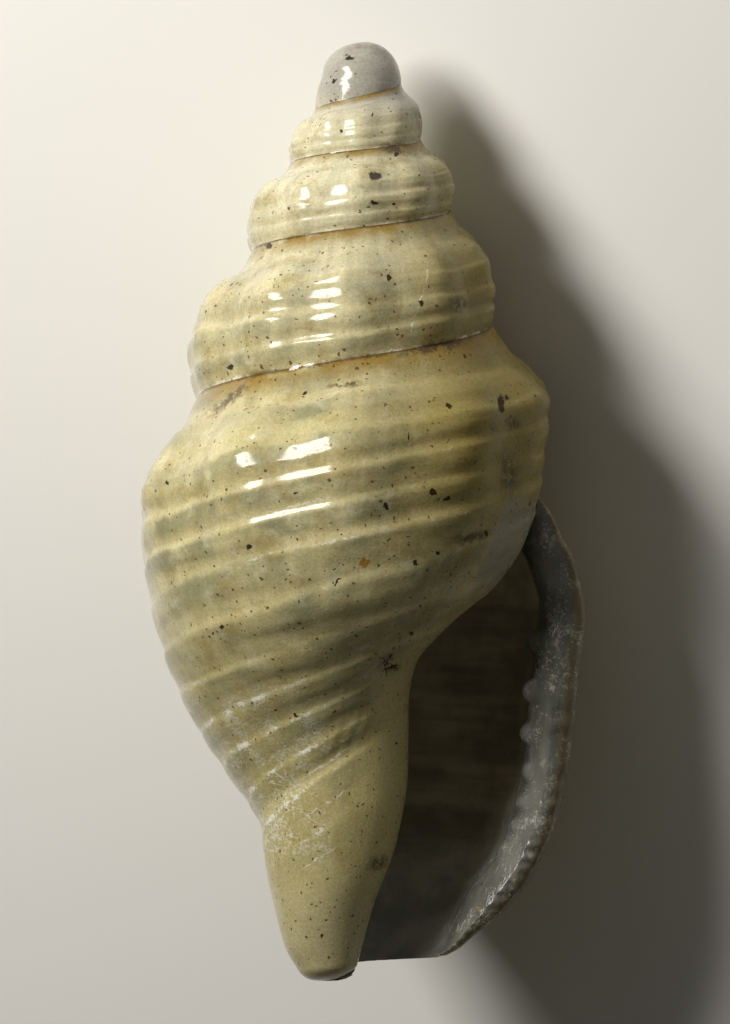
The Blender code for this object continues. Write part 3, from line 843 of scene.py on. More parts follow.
class ShellFinish(bpy.types.PropertyGroup):
    """Colours of the shell."""

    cord_colour: colour("Cords", "Opaque cream between the clear bands", (0.62, 0.55, 0.29))
    clear_colour: colour("Clear bands", "Clear grey-green crests of the cords", (0.34, 0.325, 0.185))
    spire_colour: colour("Spire", "Greyish white of the upper whorls", (0.80, 0.76, 0.56))
    cloud_colour: colour("Clouds", "Milky clouds in the wall", (0.74, 0.69, 0.46))
    tan_colour: colour("Tan", "Brownish yellow patches", (0.42, 0.33, 0.13))
    olive_colour: colour("Base", "Olive of the base", (0.40, 0.34, 0.12))
    canal_colour: colour("Canal", "Pale end of the canal", (0.52, 0.46, 0.26))
    dome_colour: colour("First whorls", "Grey glass of the first whorls", (0.42, 0.40, 0.36))
    callus_colour: colour("Callus", "Smooth grey yellow beside the aperture", (0.62, 0.54, 0.25))
    film_colour: colour("Film", "Bluish film beside the top of the lip", (0.27, 0.27, 0.22))
    # Painted shade: darker, deeper yellow on the side toward the lip, away from the main light
    shaded_side_colour: colour("Amber", "Deeper yellow toward the lip", (0.28, 0.215, 0.050))
    stain_colour: colour("Stains", "Ochre stain along the sutures", (0.34, 0.22, 0.045))
    line_colour: colour("Suture line", "Thin brown line in the suture", (0.13, 0.08, 0.03))
    # White of frost and scratches; along the cords' upper edges and on one wide scratch it is also a
    # painted highlight
    frost_and_highlight_colour: colour("Frost", "White of worn and scratched spots", (0.80, 0.78, 0.66))
    smudge_colour: colour("Smudges", "Brownish grey smudges", (0.105, 0.068, 0.030))
    speck_colour: colour("Specks", "Dark brown grains of dirt", (0.022, 0.011, 0.005))
    orange_colour: colour("Orange grain", "One orange grain", (0.42, 0.19, 0.01))
    lip_colour: colour("Lip", "Bluish white of the outer lip", (0.21, 0.21, 0.185))
    lip_shade_colour: colour("Lip shade", "Darker glass of the outer lip", (0.115, 0.115, 0.098))
    rim_colour: colour("Rim", "Yellowish strip outside the lip", (0.18, 0.157, 0.085))
    # Painted shade: the dark colours of the hollow stand in for the shade inside the aperture
    hollow_shade_colour: colour("Hollow", "Dark brown inside the aperture", (0.065, 0.053, 0.028))
    hollow_band_colour: colour("Hollow bands", "Darker bands inside", (0.042, 0.033, 0.017))
    # Painted glow: emission in the hollow, standing in for light through the wall
    painted_glow_through_wall: FloatProperty(
        name="Light through the wall", description="How much of the light outside shows in the hollow",
        default=0.24, min=0.0, max=1.0)
    hollow_low_colour: colour("Canal inside", "Grey inside of the canal", (0.075, 0.070, 0.054))


class StageSettings(bpy.types.PropertyGroup):
    """Floor, lights and camera."""

    floor_colour: FloatVectorProperty(
        name="Floor", description="Plain pale floor", subtype="COLOR",
        default=(0.90, 0.89, 0.87), min=0.0, max=1.0)
    key_power: FloatProperty(
        name="Key light", description="Power of the main light", default=0.0096, min=0.0, unit="POWER")
    lens: FloatProperty(
        name="Lens", description="Focal length in millimetres", default=600.0, min=50.0)


def place_group():
    """Place on the shell in millimetres: the vector, then across, along from the apex, toward."""
    tree = shader_group("Shell place", (), (("Place", "Vector"), ("Across", "Float"), ("Along", "Float"),
                                            ("Toward", "Float")))
    nodes = Nodes(tree)
    back = TURNED.inverted()
    turned_back = nodes.add("Mapping", nodes.add("TexCoord").outputs["Object"], vector_type="POINT")
    turned_back.inputs["Location"].default_value = -(back @ REST_SHIFT)
    turned_back.inputs["Rotation"].default_value = back.to_euler()
    turned_back.inputs["Scale"].default_value = (1.0 / MM,) * 3
    parts = nodes.add("SeparateXYZ", turned_back.outputs[0])
    along = nodes.times(parts.outputs[1], -1.0)
    nodes.give(Place=turned_back.outputs[0], Across=parts.outputs[0], Along=along, Toward=parts.outputs[2])
    return tree


def speck_group():
    """Scattered grains of dirt of mixed sizes, in clusters where Dirt is high."""
    tree = shader_group(
        "Dirt specks",
        (("Place", "Vector", None), ("Cells per mm", "Float", 6.0), ("Largest", "Float", 0.12),
         ("Dirt", "Float", 0.5)),
        (("Mask", "Float"),))
    nodes = Nodes(tree)
    given = nodes.add("NodeGroupInput", plain=True)
    place = given.outputs["Place"]
    cells = nodes.add("TexVoronoi", place)
    nodes.put(cells, "Scale", given.outputs["Cells per mm"])
    chance = nodes.add("SeparateColor", cells.outputs["Color"])
    size = nodes.math("POWER", chance.outputs[0], 3.0)
    reach = nodes.times(nodes.plus(size, 0.20), given.outputs["Largest"])
    inside = nodes.minus(reach, cells.outputs["Distance"])
    kept = nodes.math("GREATER_THAN", given.outputs["Dirt"], chance.outputs[1])
    nodes.give(Mask=nodes.times(nodes.ramp(inside, 0.0, 0.03), kept))
    return tree


def grain_group():
    """Fine sugary grain with shallow dents, as a height from 0 to about 1."""
    tree = shader_group(
        "Shell grain", (("Place", "Vector", None), ("Fineness", "Float", 42.0), ("Dents", "Float", 0.5)),
        (("Height", "Float"), ("Fine", "Float")))
    nodes = Nodes(tree)
    given = nodes.add("NodeGroupInput", plain=True)
    fine = nodes.noise(given.outputs["Place"], given.outputs["Fineness"], 1.0, 0.5)
    broad = nodes.noise(given.outputs["Place"], 6.0, 2.0, 0.5)
    dents = nodes.times(broad, given.outputs["Dents"])
    total = nodes.plus(nodes.times(fine, 0.7), dents)
    nodes.give(Height=total, Fine=fine)
    return tree


def frost_group():
    """Frosty worn patches made of tiny white crumbs."""
    tree = shader_group(
        "Frost", (("Place", "Vector", None), ("Amount", "Float", 0.5)), (("Mask", "Float"),))
    nodes = Nodes(tree)
    given = nodes.add("NodeGroupInput", plain=True)
    crumbs = nodes.noise(given.outputs["Place"], 38.0, 3.0, 0.8)
    patches = nodes.noise(given.outputs["Place"], 4.6, 2.0, 0.6)
    total = nodes.plus(crumbs, nodes.times(patches, 0.7))
    level = nodes.plus(total, nodes.times(given.outputs["Amount"], 0.35))
    mask = nodes.times(nodes.ramp(level, 1.06, 1.30), given.outputs["Amount"])
    nodes.give(Mask=nodes.math("MULTIPLY", mask, 1.0, clamp=True))
    return tree


def on_shell(pixel_across, pixel_down):
    """Millimetres across and along from the apex, for a pixel of the photograph."""
    across = (pixel_across - APEX_PIXEL[0]) / PIXELS_PER_MM
    down = (pixel_down - APEX_PIXEL[1]) / PIXELS_PER_MM
    level = math.cos(PICTURE_LEAN)
    slope = math.sin(PICTURE_LEAN)
    return across * level + down * slope, down * level - across * slope


def nearest_mark(nodes, place, marks, low, high):
    """Distance to the nearest mark between two depths, in sizes of that mark."""
    nearest = 100.0
    flat = nodes.stretched(place, (1.0, 1.0, 0.0))
    for pixel_across, pixel_down, half_width, half_height, lean in marks:
        across, along = on_shell(pixel_across, pixel_down)
        width = half_width / PIXELS_PER_MM
        height = half_height / PIXELS_PER_MM
        if not low - 0.3 < along < high + 0.3:
            continue
        if lean:
            mark = nodes.add("Mapping", flat, vector_type="TEXTURE")
            mark.inputs["Location"].default_value = (across, -along, 0.0)
            mark.inputs["Rotation"].default_value = (0.0, 0.0, math.radians(lean))
            mark.inputs["Scale"].default_value = (width, height, 1.0)
        else:
            mark = nodes.add("VectorMath", flat, (1.0 / width, 1.0 / height, 0.0),
                             (-across / width, along / height, 0.0), operation="MULTIPLY_ADD")
        away = nodes.add("VectorMath", mark.outputs[0], operation="LENGTH").outputs["Value"]
        nearest = nodes.math("MINIMUM", nearest, away)
    return nearest


def shell_place(nodes, groups):
    """Place on the shell, and the turn and step that its UV map keeps."""
    where = nodes.group(groups["place"])
    coil = nodes.add("SeparateXYZ", nodes.add("UVMap", uv_map="coil").outputs[0])
    return SimpleNamespace(
        place=where.outputs["Place"], across=where.outputs["Across"], along=where.outputs["Along"],
        front=nodes.ramp(where.outputs["Toward"], 0.05, 0.2), turn=coil.outputs[0], step=coil.outputs[1])


def summed_ramps(nodes, value, ramps):
    """Sum of smooth changes: from, to, change."""
    total = 0.0
    for low, high, change in ramps:
        total = nodes.plus(total, nodes.ramp(value, low, high, 0.0, change))
    return total


def find_cords(nodes, at):
    """Crests and upper edges of the cords, as they are wound, and the smooth callus."""
    at.wander = nodes.noise(at.place, 2.4, 3.0, 0.6)
    at.wandering = nodes.plus(at.step, nodes.times(nodes.minus(at.wander, 0.5), 0.10))
    slant = summed_ramps(nodes, at.step, CORD_SLANT)
    reach = summed_ramps(nodes, at.turn, SLANT_TURNS)
    wider = nodes.larger(nodes.minus(at.wandering, WIDER_PAST), 0.0)
    cords = nodes.minus(at.wandering, nodes.times(wider, WIDER_SHARE))
    cords = nodes.minus(cords, nodes.times(slant, reach))
    part = nodes.math("FRACT", nodes.times(cords, float(CORDS_PER_WHORL)))
    at.crest = nodes.times(nodes.ramp(part, 0.0, 0.20), nodes.ramp(part, 0.46, 0.80, 1.0, 0.0))
    at.corded = nodes.ramp(at.step, LAST_CORD_STEP - 0.8, LAST_CORD_STEP + 0.2, 1.0, 0.15)
    # Upper edge of each cord; below it is whitened as worn frost and as a painted highlight
    at.edge = nodes.times(nodes.ramp(part, 0.02, 0.10), nodes.ramp(part, 0.13, 0.24, 1.0, 0.0), at.corded)
    past = nodes.larger(nodes.plus(at.turn, 1.0), 0.0)
    past_edge = nodes.minus(past, nodes.ramp(at.step, *CALLUS_WIDENS, 0.08, 0.19))
    at.callus = nodes.times(nodes.ramp(past_edge, -0.04, 0.04, 1.0, 0.0),
                            nodes.ramp(at.step, 1.0, 1.2), nodes.ramp(at.turn, -1.02, -1.0))
    at.uncovered = nodes.minus(1.0, nodes.times(at.callus, 0.85))


def find_growth(nodes, at):
    """Growth lines, and where there is any sculpture at all."""
    at.sculpted = 1.0
    if at.on_base:
        at.sculpted = nodes.ramp(at.along, 7.0, 7.8, 1.0, 0.0)
    if at.on_spire:
        at.sculpted = nodes.ramp(at.along, 0.75, 1.10)
    lines = nodes.add("CombineXYZ", nodes.times(at.turn, 55.0), nodes.times(at.wandering, 1.6), 0.0)
    lines = nodes.noise(lines.outputs[0], 1.0, 3.0, 0.6)
    at.growth = nodes.plus(0.5, nodes.times(nodes.minus(lines, 0.5), at.sculpted))


def plain_colour(nodes, at, finish):
    """Clear grey-green bands in patches over cream, with milky clouds, tan patches and growth lines."""
    patchy = nodes.noise(nodes.shifted(at.place, (3.0, 1.0, 8.0)), 1.7, 3.0, 0.6)
    clear = nodes.times(at.crest, nodes.ramp(patchy, 0.40, 0.60, 0.30, 1.0), at.uncovered, at.corded)
    if at.on_spire:
        clear = nodes.times(clear, nodes.ramp(at.along, 0.8, 2.6, 0.0, 0.9))
    colour = nodes.mix(clear, finish.cord_colour, finish.clear_colour)
    colour = nodes.mix(nodes.ramp(at.along, 0.8, 3.6, 0.75, 0.0), colour, finish.spire_colour)
    cloudy = nodes.ramp(nodes.noise(at.place, 4.5, 3.0, 0.6), 0.48, 0.72, 0.0, 0.5)
    colour = nodes.mix(cloudy, colour, finish.cloud_colour)
    colour = nodes.mix(nodes.ramp(at.dusty, 0.46, 0.70, 0.0, 0.7), colour, finish.tan_colour)
    return nodes.shade(colour, nodes.ramp(at.growth, 0.3, 0.7, 0.88, 1.08))


def zone_colour(nodes, at, finish, colour):
    """Painted shade, darker and deeper yellow, on the side toward the lip; olive base, pale canal and grey
    glass on the first whorls.
    """
    # Painted shade: the side toward the lip, away from the main light, made darker and deeper yellow
    shaded_side = nodes.times(nodes.ramp(at.across, -0.2, 1.2, 0.0, 0.85),
                        nodes.ramp(at.along, 3.9, 5.0, 1.0, 0.20))
    colour = nodes.mix(shaded_side, colour, finish.shaded_side_colour)
    if at.on_spire:
        colour = nodes.mix(nodes.ramp(at.along, 0.40, 0.82, 0.92, 0.0), colour, finish.dome_colour)
        cap = nodes.times(nodes.ramp(at.along, 0.03, 0.20, 1.0, 0.0), nodes.ramp(at.wander, 0.36, 0.56))
        return nodes.mix(nodes.times(cap, 0.6), colour, finish.smudge_colour)
    olive = nodes.times(nodes.ramp(at.along, 4.7, 6.6, 0.0, 0.50), nodes.ramp(at.along, 7.3, 8.1, 1.0, 0.0))
    colour = nodes.mix(olive, colour, finish.olive_colour)
    colour = nodes.mix(nodes.times(at.callus, 0.7), colour, finish.callus_colour)
    # A thin bluish film spreads from the top of the lip over the whorl
    film_edge = nodes.plus(at.across, nodes.times(at.along, 0.36))
    film = nodes.times(nodes.ramp(film_edge, 2.87, 2.97), nodes.ramp(at.along, 4.0, 4.2),
                       nodes.ramp(at.along, 4.7, 5.2, 1.0, 0.0), at.front)
    colour = nodes.mix(nodes.times(film, 0.75), colour, finish.film_colour)
    if at.on_base:
        colour = nodes.mix(nodes.ramp(at.along, 7.3, 8.2, 0.0, 0.75), colour, finish.canal_colour)
    return colour


def suture_colour(nodes, at, finish, colour):
    """Ochre below the suture, a thin brown line in it and a broken white edge above."""
    ragged = nodes.noise(at.place, 13.0, 3.0)
    at.below = nodes.plus(at.step, nodes.times(nodes.minus(ragged, 0.5), 0.04))
    at.sutured = nodes.ramp(at.turn, -4.02, -3.92)
    stained = nodes.ramp(nodes.noise(at.place, 2.0, 3.0, 0.65), 0.36, 0.56, 0.35, 0.95)
    ochre = nodes.times(nodes.ramp(at.below, 0.02, 0.15, 1.0, 0.0), stained, at.sutured)
    colour = nodes.mix(ochre, colour, finish.stain_colour)
    line = nodes.times(nodes.ramp(at.below, 0.0, 0.026, 0.95, 0.0), at.sutured)
    colour = nodes.mix(line, colour, finish.line_colour)
    white_edge = nodes.times(nodes.ramp(at.below, 0.975, 0.99), nodes.ramp(at.turn, -1.002, -1.0, 1.0, 0.0),
                             nodes.ramp(ragged, 0.47, 0.62, 0.0, 0.8), at.sutured)
    return nodes.mix(white_edge, colour, finish.frost_and_highlight_colour)


def roughen_place(nodes, at):
    """Place nudged by a fine noise, so that marks have ragged edges."""
    nudge = nodes.add("TexNoise", at.place)
    nudge.inputs["Scale"].default_value = 20.0
    nudge.inputs["Detail"].default_value = 1.0
    centred = nodes.shifted(nudge.outputs["Color"], (-0.5, -0.5, -0.5))
    push = nodes.stretched(centred, (0.06, 0.06, 0.0))
    at.nudge = nudge.outputs[0]
    at.ragged_place = nodes.add("VectorMath", at.place, push, operation="ADD").outputs[0]


def hair_scratches(nodes, at, worn_zone, broken):
    """Two crossing sets of hair scratches in the worn part of the base."""
    total = 0.0
    for lean, shift in ((55.0, 2.0), (-35.0, 5.0)):
        along_hairs = nodes.add("Mapping", nodes.shifted(at.place, (shift, 0.0, 0.0)))
        along_hairs.inputs["Rotation"].default_value = (0.0, 0.0, math.radians(lean))
        along_hairs.inputs["Scale"].default_value = (1.0, 5.0, 1.0)
        hair = nodes.minus(nodes.noise(along_hairs.outputs[0], 1.3, 1.0, 0.5), 0.5)
        hair = nodes.ramp(nodes.math("ABSOLUTE", hair), 0.002, 0.010, 1.0, 0.0)
        hair = nodes.times(hair, worn_zone, broken, nodes.ramp(at.nudge, 0.42, 0.56, 0.0, 0.8))
        total = nodes.larger(total, hair)
    return total


def find_wear(nodes, at, groups):
    """White of worn patches and scratches and of frosted cord edges, partly a painted highlight along those
    edges and on one wide scratch, and the height of the frost.
    """
    broken = nodes.noise(nodes.shifted(at.place, (4.0, 6.0, 1.0)), 3.6, 2.0, 0.6)
    broken = nodes.ramp(broken, 0.46, 0.62)
    # A little worn frost everywhere, and along the cords' upper edges a white that is partly wear and
    # partly a painted highlight
    worn = nodes.plus(0.12, nodes.times(at.edge, broken, 0.35))
    # Scratches, one of them a painted highlight along a cord's crest
    scratch_and_highlight = nearest_mark(nodes, at.ragged_place, SCRATCHES_AND_HIGHLIGHT, at.low, at.high)
    scratch_and_highlight = nodes.times(nodes.ramp(scratch_and_highlight, 0.5, 1.2, 0.8, 0.0),
                          nodes.ramp(at.nudge, 0.40, 0.56, 0.1, 1.0), at.front)
    if at.on_base:
        worn_zone = nodes.times(nodes.ramp(at.along, 5.5, 6.3), nodes.ramp(at.along, 7.3, 7.8, 1.0, 0.0),
                                nodes.ramp(at.across, -0.3, 0.3, 1.0, 0.1))
        # Worn base, its cord edges also whitened as a painted highlight
        base_wear = nodes.plus(0.58, nodes.times(at.edge, broken, 0.25))
        worn = nodes.plus(worn, nodes.times(worn_zone, base_wear))
        scratch_and_highlight = nodes.larger(scratch_and_highlight, hair_scratches(nodes, at, worn_zone, broken))
    amount = nodes.times(worn, at.uncovered)
    frost = nodes.group(groups["frost"], Place=at.place, Amount=amount).outputs[0]
    at.white = nodes.larger(frost, scratch_and_highlight)
    at.crumbs = nodes.times(frost, 0.5)


def dirty_colour(nodes, at, finish, groups, colour):
    """Smudges, fine specks, larger grains and the marks seen in place, thicker along the sutures."""
    smudge = nodes.ramp(nearest_mark(nodes, at.ragged_place, SMUDGES, at.low, at.high), 0.2, 1.4, 0.9, 0.0)
    smudge = nodes.times(smudge, nodes.ramp(nodes.noise(at.place, 11.0, 3.0, 0.8), 0.38, 0.56), at.front)
    colour = nodes.mix(smudge, colour, finish.smudge_colour)
    dirt = nodes.ramp(at.dusty, 0.38, 0.62, 0.35, 1.0)
    dirt = nodes.plus(dirt, nodes.times(nodes.ramp(at.below, 0.0, 0.16, 0.4, 0.0), at.sutured))
    specks = nodes.group(groups["specks"], **{
        "Place": at.ragged_place, "Cells per mm": 23.0, "Largest": 0.30, "Dirt": dirt}).outputs[0]
    grains = nodes.group(groups["specks"], **{
        "Place": at.ragged_place, "Cells per mm": 6.0, "Largest": 0.15,
        "Dirt": nodes.times(dirt, 0.4)}).outputs[0]
    marks = nodes.ramp(nearest_mark(nodes, at.ragged_place, MARKS, at.low, at.high), 0.8, 1.2, 1.0, 0.0)
    colour = nodes.mix(nodes.times(specks, 0.85), colour, finish.smudge_colour)
    at.grime = nodes.larger(nodes.times(marks, at.front), nodes.times(grains, 0.9))
    colour = nodes.mix(nodes.times(at.grime, 0.94), colour, finish.speck_colour)
    if at.low < on_shell(*ORANGE_MARKS[0][:2])[1] < at.high:
        orange = nearest_mark(nodes, at.ragged_place, ORANGE_MARKS, at.low, at.high)
        orange = nodes.times(nodes.ramp(orange, 0.5, 1.2, 0.9, 0.0), at.front)
        colour = nodes.mix(orange, colour, finish.orange_colour)
    return colour


def bumped_shader(nodes, colour, roughness, height, distance):
    """Principled shader with its colour, roughness and a bump of the given depth."""
    bump = nodes.add("Bump")
    bump.inputs["Strength"].default_value = 0.9
    bump.inputs["Distance"].default_value = distance
    nodes.put(bump, "Height", height)
    shader = nodes.add("BsdfPrincipled")
    nodes.put(shader, "Base Color", colour)
    nodes.put(shader, "Roughness", roughness)
    nodes.put(shader, "Normal", bump.outputs[0])
    nodes.add("OutputMaterial", shader.outputs[0])
    return shader


def outside_material(name, low, high, finish, groups):
    """Cream shell with clear cords, stained sutures, worn frost and specks of dirt, for one zone."""
    material = bpy.data.materials.new(name)
    material.use_nodes = True
    nodes = Nodes(material.node_tree)
    at = shell_place(nodes, groups)
    at.low = low
    at.high = high
    at.on_spire = low < 0.0
    at.on_base = high > 6.0
    at.dusty = nodes.noise(nodes.shifted(at.place, (7.0, 3.0, 5.0)), 2.9, 4.0, 0.7)
    find_cords(nodes, at)
    find_growth(nodes, at)
    roughen_place(nodes, at)
    find_wear(nodes, at, groups)
    colour = plain_colour(nodes, at, finish)
    colour = zone_colour(nodes, at, finish, colour)
    colour = suture_colour(nodes, at, finish, colour)
    # White frost and scratches, partly a painted highlight along the cords' upper edges
    colour = nodes.mix(at.white, colour, finish.frost_and_highlight_colour)
    colour = dirty_colour(nodes, at, finish, groups, colour)
    grain = nodes.group(groups["grain"], Place=at.place)
    colour = nodes.shade(colour, nodes.ramp(grain.outputs["Fine"], 0.3, 0.7, 0.91, 1.08))
    roughness = nodes.plus(nodes.ramp(at.dusty, 0.3, 0.7, 0.20, 0.40),
                           nodes.times(nodes.larger(at.grime, at.white), 0.25))
    height = nodes.plus(at.crumbs, grain.outputs["Height"])
    height = nodes.plus(height, nodes.times(at.growth, 0.8))
    height = nodes.plus(height, nodes.times(at.crest, at.corded, at.sculpted, at.uncovered, 1.1))
    shader = bumped_shader(nodes, colour, roughness, height, 0.0045 * MM)
    nodes.put(shader, "Specular IOR Level", 0.10)
    # Glossy on the side toward the main light, duller toward the lip and on the callus
    nodes.put(shader, "Coat Weight", nodes.times(nodes.ramp(at.across, -0.1, 1.0, 0.8, 0.0), at.uncovered))
    nodes.put(shader, "Coat Roughness", 0.12)
    nodes.put(shader, "Subsurface Weight", 0.3)
    nodes.put(shader, "Subsurface Radius", (1.0, 0.85, 0.55))
    nodes.put(shader, "Subsurface Scale", 0.14 * MM)
    return material


def lip_glass(nodes, at, finish, with_rim):
    """Bluish glass of the lip with milky spots, and the yellowish strip along its outside."""
    veil = nodes.noise(nodes.stretched(at.place, (3.4, 1.1, 3.4)), 1.0, 3.0, 0.55)
    colour = nodes.mix(nodes.ramp(veil, 0.34, 0.66), finish.lip_colour, finish.lip_shade_colour)
    if with_rim:
        strip = nodes.times(nodes.ramp(at.turn, 0.0104, 0.0122, 1.0, 0.0), nodes.ramp(at.turn, 0.0, 0.001))
        colour = nodes.mix(nodes.times(strip, 0.9), colour, finish.rim_colour)
    milky = nodes.noise(nodes.stretched(at.place, (7.0, 3.6, 7.0)), 1.0, 3.0, 0.65)
    return nodes.mix(nodes.ramp(milky, 0.58, 0.74, 0.0, 0.35), colour, finish.frost_and_highlight_colour)


def hollow_shade_colour(nodes, at, finish):
    """Painted shade of the hollow: dark brown with darker bands, greyer in the canal."""
    band = nodes.noise(nodes.stretched(at.place, (0.4, 3.4, 0.4)), 1.0, 3.0, 0.6)
    colour = nodes.mix(nodes.ramp(band, 0.38, 0.62), finish.hollow_shade_colour, finish.hollow_band_colour)
    colour = nodes.mix(nodes.ramp(at.along, 6.6, 8.3, 0.0, 0.9), colour, finish.hollow_low_colour)
    blotch = nodes.noise(at.place, 2.6, 3.0, 0.6)
    return nodes.shade(colour, nodes.ramp(blotch, 0.35, 0.65, 0.8, 1.15))


def lip_then_hollow(nodes, at):
    """Lip at the mouth on the outer side of the hollow, painted dark shade further in."""
    return nodes.times(nodes.ramp(at.turn, -0.075, -0.035), nodes.ramp(at.step, 0.50, 0.54))


def mouth_material(name, finish, groups):
    """Bluish white lip; inside the mouth it fades to the painted shade of the hollow."""
    on_lip = name == "shell_lip"
    material = bpy.data.materials.new(name)
    material.use_nodes = True
    nodes = Nodes(material.node_tree)
    at = shell_place(nodes, groups)
    lip_share = 1.0 if on_lip else lip_then_hollow(nodes, at)
    # Painted shade: inside holds the dark colour of the hollow
    inside = hollow_shade_colour(nodes, at, finish)
    colour = nodes.mix(lip_share, inside, lip_glass(nodes, at, finish, on_lip))
    frost = nodes.group(groups["frost"], Place=at.place, Amount=nodes.times(lip_share, 0.50)).outputs[0]
    colour = nodes.mix(frost, colour, finish.frost_and_highlight_colour)
    dirt = nodes.group(groups["specks"], **{
        "Place": at.place, "Cells per mm": 5.0, "Largest": 0.13, "Dirt": 0.30}).outputs[0]
    colour = nodes.mix(nodes.times(dirt, 0.85), colour, finish.speck_colour)
    ochre = nodes.noise(nodes.shifted(at.place, (2.0, 9.0, 4.0)), 6.5, 3.0, 0.7)
    ochre = nodes.times(nodes.ramp(ochre, 0.64, 0.74, 0.0, 0.6), lip_share)
    colour = nodes.mix(ochre, colour, finish.stain_colour)
    roughness = nodes.plus(nodes.ramp(lip_share, 0.0, 1.0, 0.5, 0.16), nodes.times(frost, 0.3))
    ripple = nodes.noise(nodes.stretched(at.place, (15.0, 1.8, 15.0)), 1.0, 3.0, 0.6)
    dents = nodes.times(nodes.noise(at.place, 8.0, 2.0, 0.6), 0.7)
    shader = bumped_shader(nodes, colour, roughness, nodes.plus(ripple, dents), 0.012 * MM)
    nodes.put(shader, "Specular IOR Level", 0.2)
    nodes.put(shader, "Coat Weight", 0.2)
    nodes.put(shader, "Coat Roughness", 0.08)
    if on_lip:
        nodes.put(shader, "Subsurface Weight", 0.35)
        nodes.put(shader, "Subsurface Radius", (1.0, 0.97, 0.9))
        nodes.put(shader, "Subsurface Scale", 0.14 * MM)
    else:
        # Painted glow: emission stands in for the light that comes through the wall from outside
        through = nodes.times(nodes.minus(1.0, lip_share), finish.painted_glow_through_wall)
        nodes.put(shader, "Emission Color", nodes.shade(inside, through))
        nodes.put(shader, "Emission Strength", 1.0)
    return material


class SHELL_OT_wind_shell(bpy.types.Operator):
    """Wind the shell from its sheets, carve its hollow and grind its resting spots"""

    bl_idname = "shell.wind_shell"
    bl_label = "Wind the shell"

    def execute(self, context):
        shape = context.scene.shell_shape
        turns, steps, body = body_places(shape)
        roll_turns, roll = lip_places(steps, shape)
        ends = np.concatenate((body[:, -1], roll[1:, -1]))
        sheets = [
            spire_sheet(shape),
            wind_sheet("body", body, turns, steps),
            wind_sheet("lip", roll, roll_turns, steps, "shell_lip"),
            canal_tip_sheet(np.concatenate((turns, roll_turns[1:])), ends),
            dome_sheet(shape),
        ]
        shell = weld(sheets, "snail_shell")
        carve(shell, cavity_tool(shape))
        grind_flat_spot(shell)
        deselect()
        shell.select_set(True)
        bpy.context.view_layer.objects.active = shell
        bpy.ops.object.shade_smooth_by_angle(angle=math.radians(50.0))
        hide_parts("shell")
        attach(shell, "root")
        return {"FINISHED"}


class SHELL_OT_mix_finishes(bpy.types.Operator):
    """Mix the finishes of the shell"""

    bl_idname = "shell.mix_finishes"
    bl_label = "Mix the finishes"

    def execute(self, context):
        finish = context.scene.shell_finish
        groups = {
            "place": place_group(),
            "specks": speck_group(),
            "grain": grain_group(),
            "frost": frost_group(),
        }
        for name, low, high in ZONES:
            outside_material(name, low, high, finish, groups)
        mouth_material("shell_lip", finish, groups)
        mouth_material("shell_hollow", finish, groups)
        return {"FINISHED"}


def lay_floor(stage):
    """Plain pale floor under the shell."""
    deselect()
    bpy.ops.mesh.primitive_plane_add(size=FLOOR_SIZE)
    floor = bpy.context.object
    floor.name = "floor"
    material = bpy.data.materials.new("floor_paper")
    material.use_nodes = True
    shader = material.node_tree.nodes["Principled BSDF"]
    shader.inputs["Base Color"].default_value = opaque(stage.floor_colour)
    shader.inputs["Roughness"].default_value = 0.8
    floor.data.materials.append(material)


def picture_axes():
    """Right, up and toward the camera in the picture, as columns."""
    turned = TURNED.to_3x3()
    toward = turned @ Vector((0.0, 0.0, 1.0))
    up = turned @ Vector((-math.sin(PICTURE_LEAN), math.cos(PICTURE_LEAN), 0.0))
    return Matrix((up.cross(toward), up, toward)).transposed()


def place_camera(scene, stage, middle, axes):
    """Camera looking down on the shell from the photograph's side."""
    data = bpy.data.cameras.new("camera")
    data.lens = stage.lens
    data.sensor_width = SENSOR_WIDTH
    data.clip_start = 0.01
    data.clip_end = 10.0
    camera = bpy.data.objects.new("camera", data)
    scene.collection.objects.link(camera)
    distance = PICTURE_HEIGHT * MM * stage.lens / SENSOR_WIDTH
    camera.matrix_world = Matrix.Translation(middle + axes.col[2] * distance) @ axes.to_4x4()
    scene.camera = camera


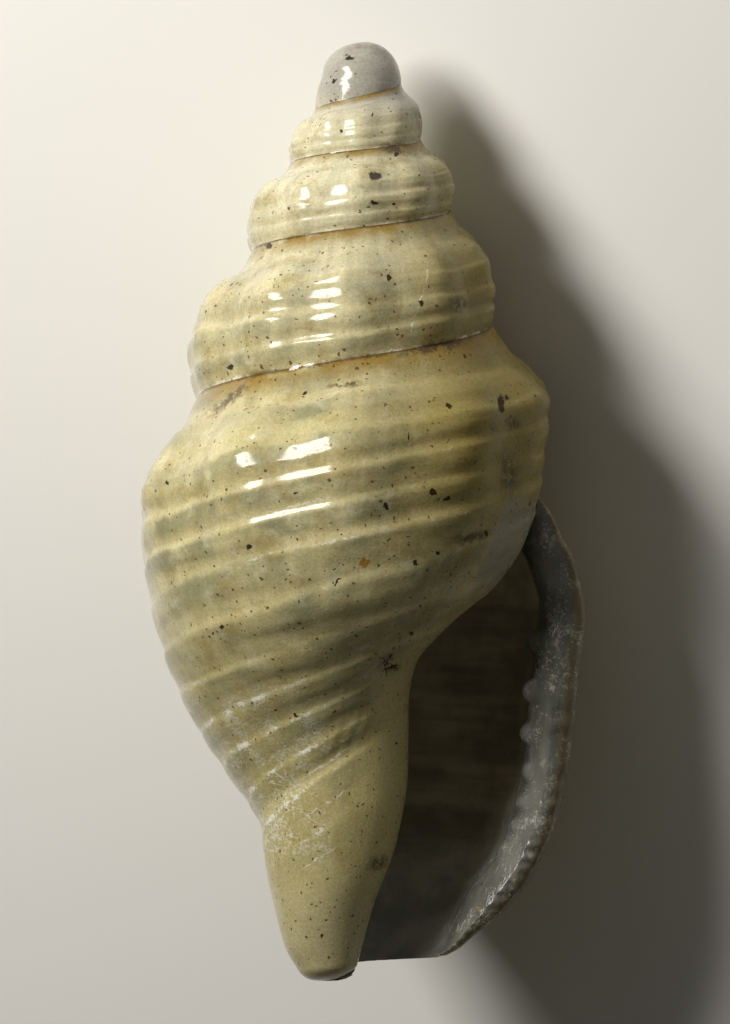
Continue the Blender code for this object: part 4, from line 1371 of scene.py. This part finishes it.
def hang_lights(scene, stage, middle, axes):
    """Soft rectangular lights around the shell, and a weak warm surrounding."""
    for name, direction, width, height, share, colour in LIGHTS:
        lamp = bpy.data.lights.new(name, "AREA")
        lamp.shape = "RECTANGLE"
        lamp.size = width
        lamp.size_y = height
        lamp.energy = stage.key_power * share
        lamp.color = colour
        lamp_object = bpy.data.objects.new(name, lamp)
        scene.collection.objects.link(lamp_object)
        aim = (axes @ Vector(direction)).normalized()
        turn = aim.to_track_quat("Z", "Y").to_matrix().to_4x4()
        lamp_object.matrix_world = Matrix.Translation(middle + aim * LIGHT_DISTANCE) @ turn
    world = bpy.data.worlds.new("studio")
    world.use_nodes = True
    background = world.node_tree.nodes["Background"]
    background.inputs["Color"].default_value = (1.0, 0.93, 0.78, 1.0)
    background.inputs["Strength"].default_value = 0.02
    scene.world = world


class SHELL_OT_set_stage(bpy.types.Operator):
    """Set the floor, the lights and the camera"""

    bl_idname = "shell.set_stage"
    bl_label = "Set the stage"

    def execute(self, context):
        stage = context.scene.shell_stage
        middle = LAID @ Vector((PICTURE_MIDDLE[0], PICTURE_MIDDLE[1], 0.0))
        axes = picture_axes()
        lay_floor(stage)
        place_camera(context.scene, stage, middle, axes)
        hang_lights(context.scene, stage, middle, axes)
        context.scene.view_settings.view_transform = "Standard"
        return {"FINISHED"}


class SHELL_PT_panel(bpy.types.Panel):
    """Sizes, colours and steps of the shell"""

    bl_idname = "SHELL_PT_panel"
    bl_label = "Sea-snail shell"
    bl_space_type = "VIEW_3D"
    bl_region_type = "UI"
    bl_category = "Shell"

    def draw(self, context):
        scene = context.scene
        for group in (scene.shell_shape, scene.shell_finish, scene.shell_stage):
            box = self.layout.box()
            for name in group.bl_rna.properties.keys():
                if name not in ("rna_type", "name"):
                    box.prop(group, name)
        for operator in STEPS:
            self.layout.operator(operator.bl_idname)


STEPS = (SHELL_OT_mix_finishes, SHELL_OT_wind_shell, SHELL_OT_set_stage)
GROUPS = {"shell_shape": ShellShape, "shell_finish": ShellFinish, "shell_stage": StageSettings}
CLASSES = tuple(GROUPS.values()) + STEPS + (SHELL_PT_panel,)


def register():
    """Register every class and hang the settings on the scene."""
    for kind in CLASSES:
        bpy.utils.register_class(kind)
    for name, kind in GROUPS.items():
        setattr(bpy.types.Scene, name, PointerProperty(type=kind))


def unregister():
    """Take back what register did."""
    for name in GROUPS:
        delattr(bpy.types.Scene, name)
    for kind in reversed(CLASSES):
        bpy.utils.unregister_class(kind)


def main():
    """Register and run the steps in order."""
    register()
    bpy.ops.shell.mix_finishes()
    bpy.ops.shell.wind_shell()
    bpy.ops.shell.set_stage()


if __name__ == "__main__":
    main()
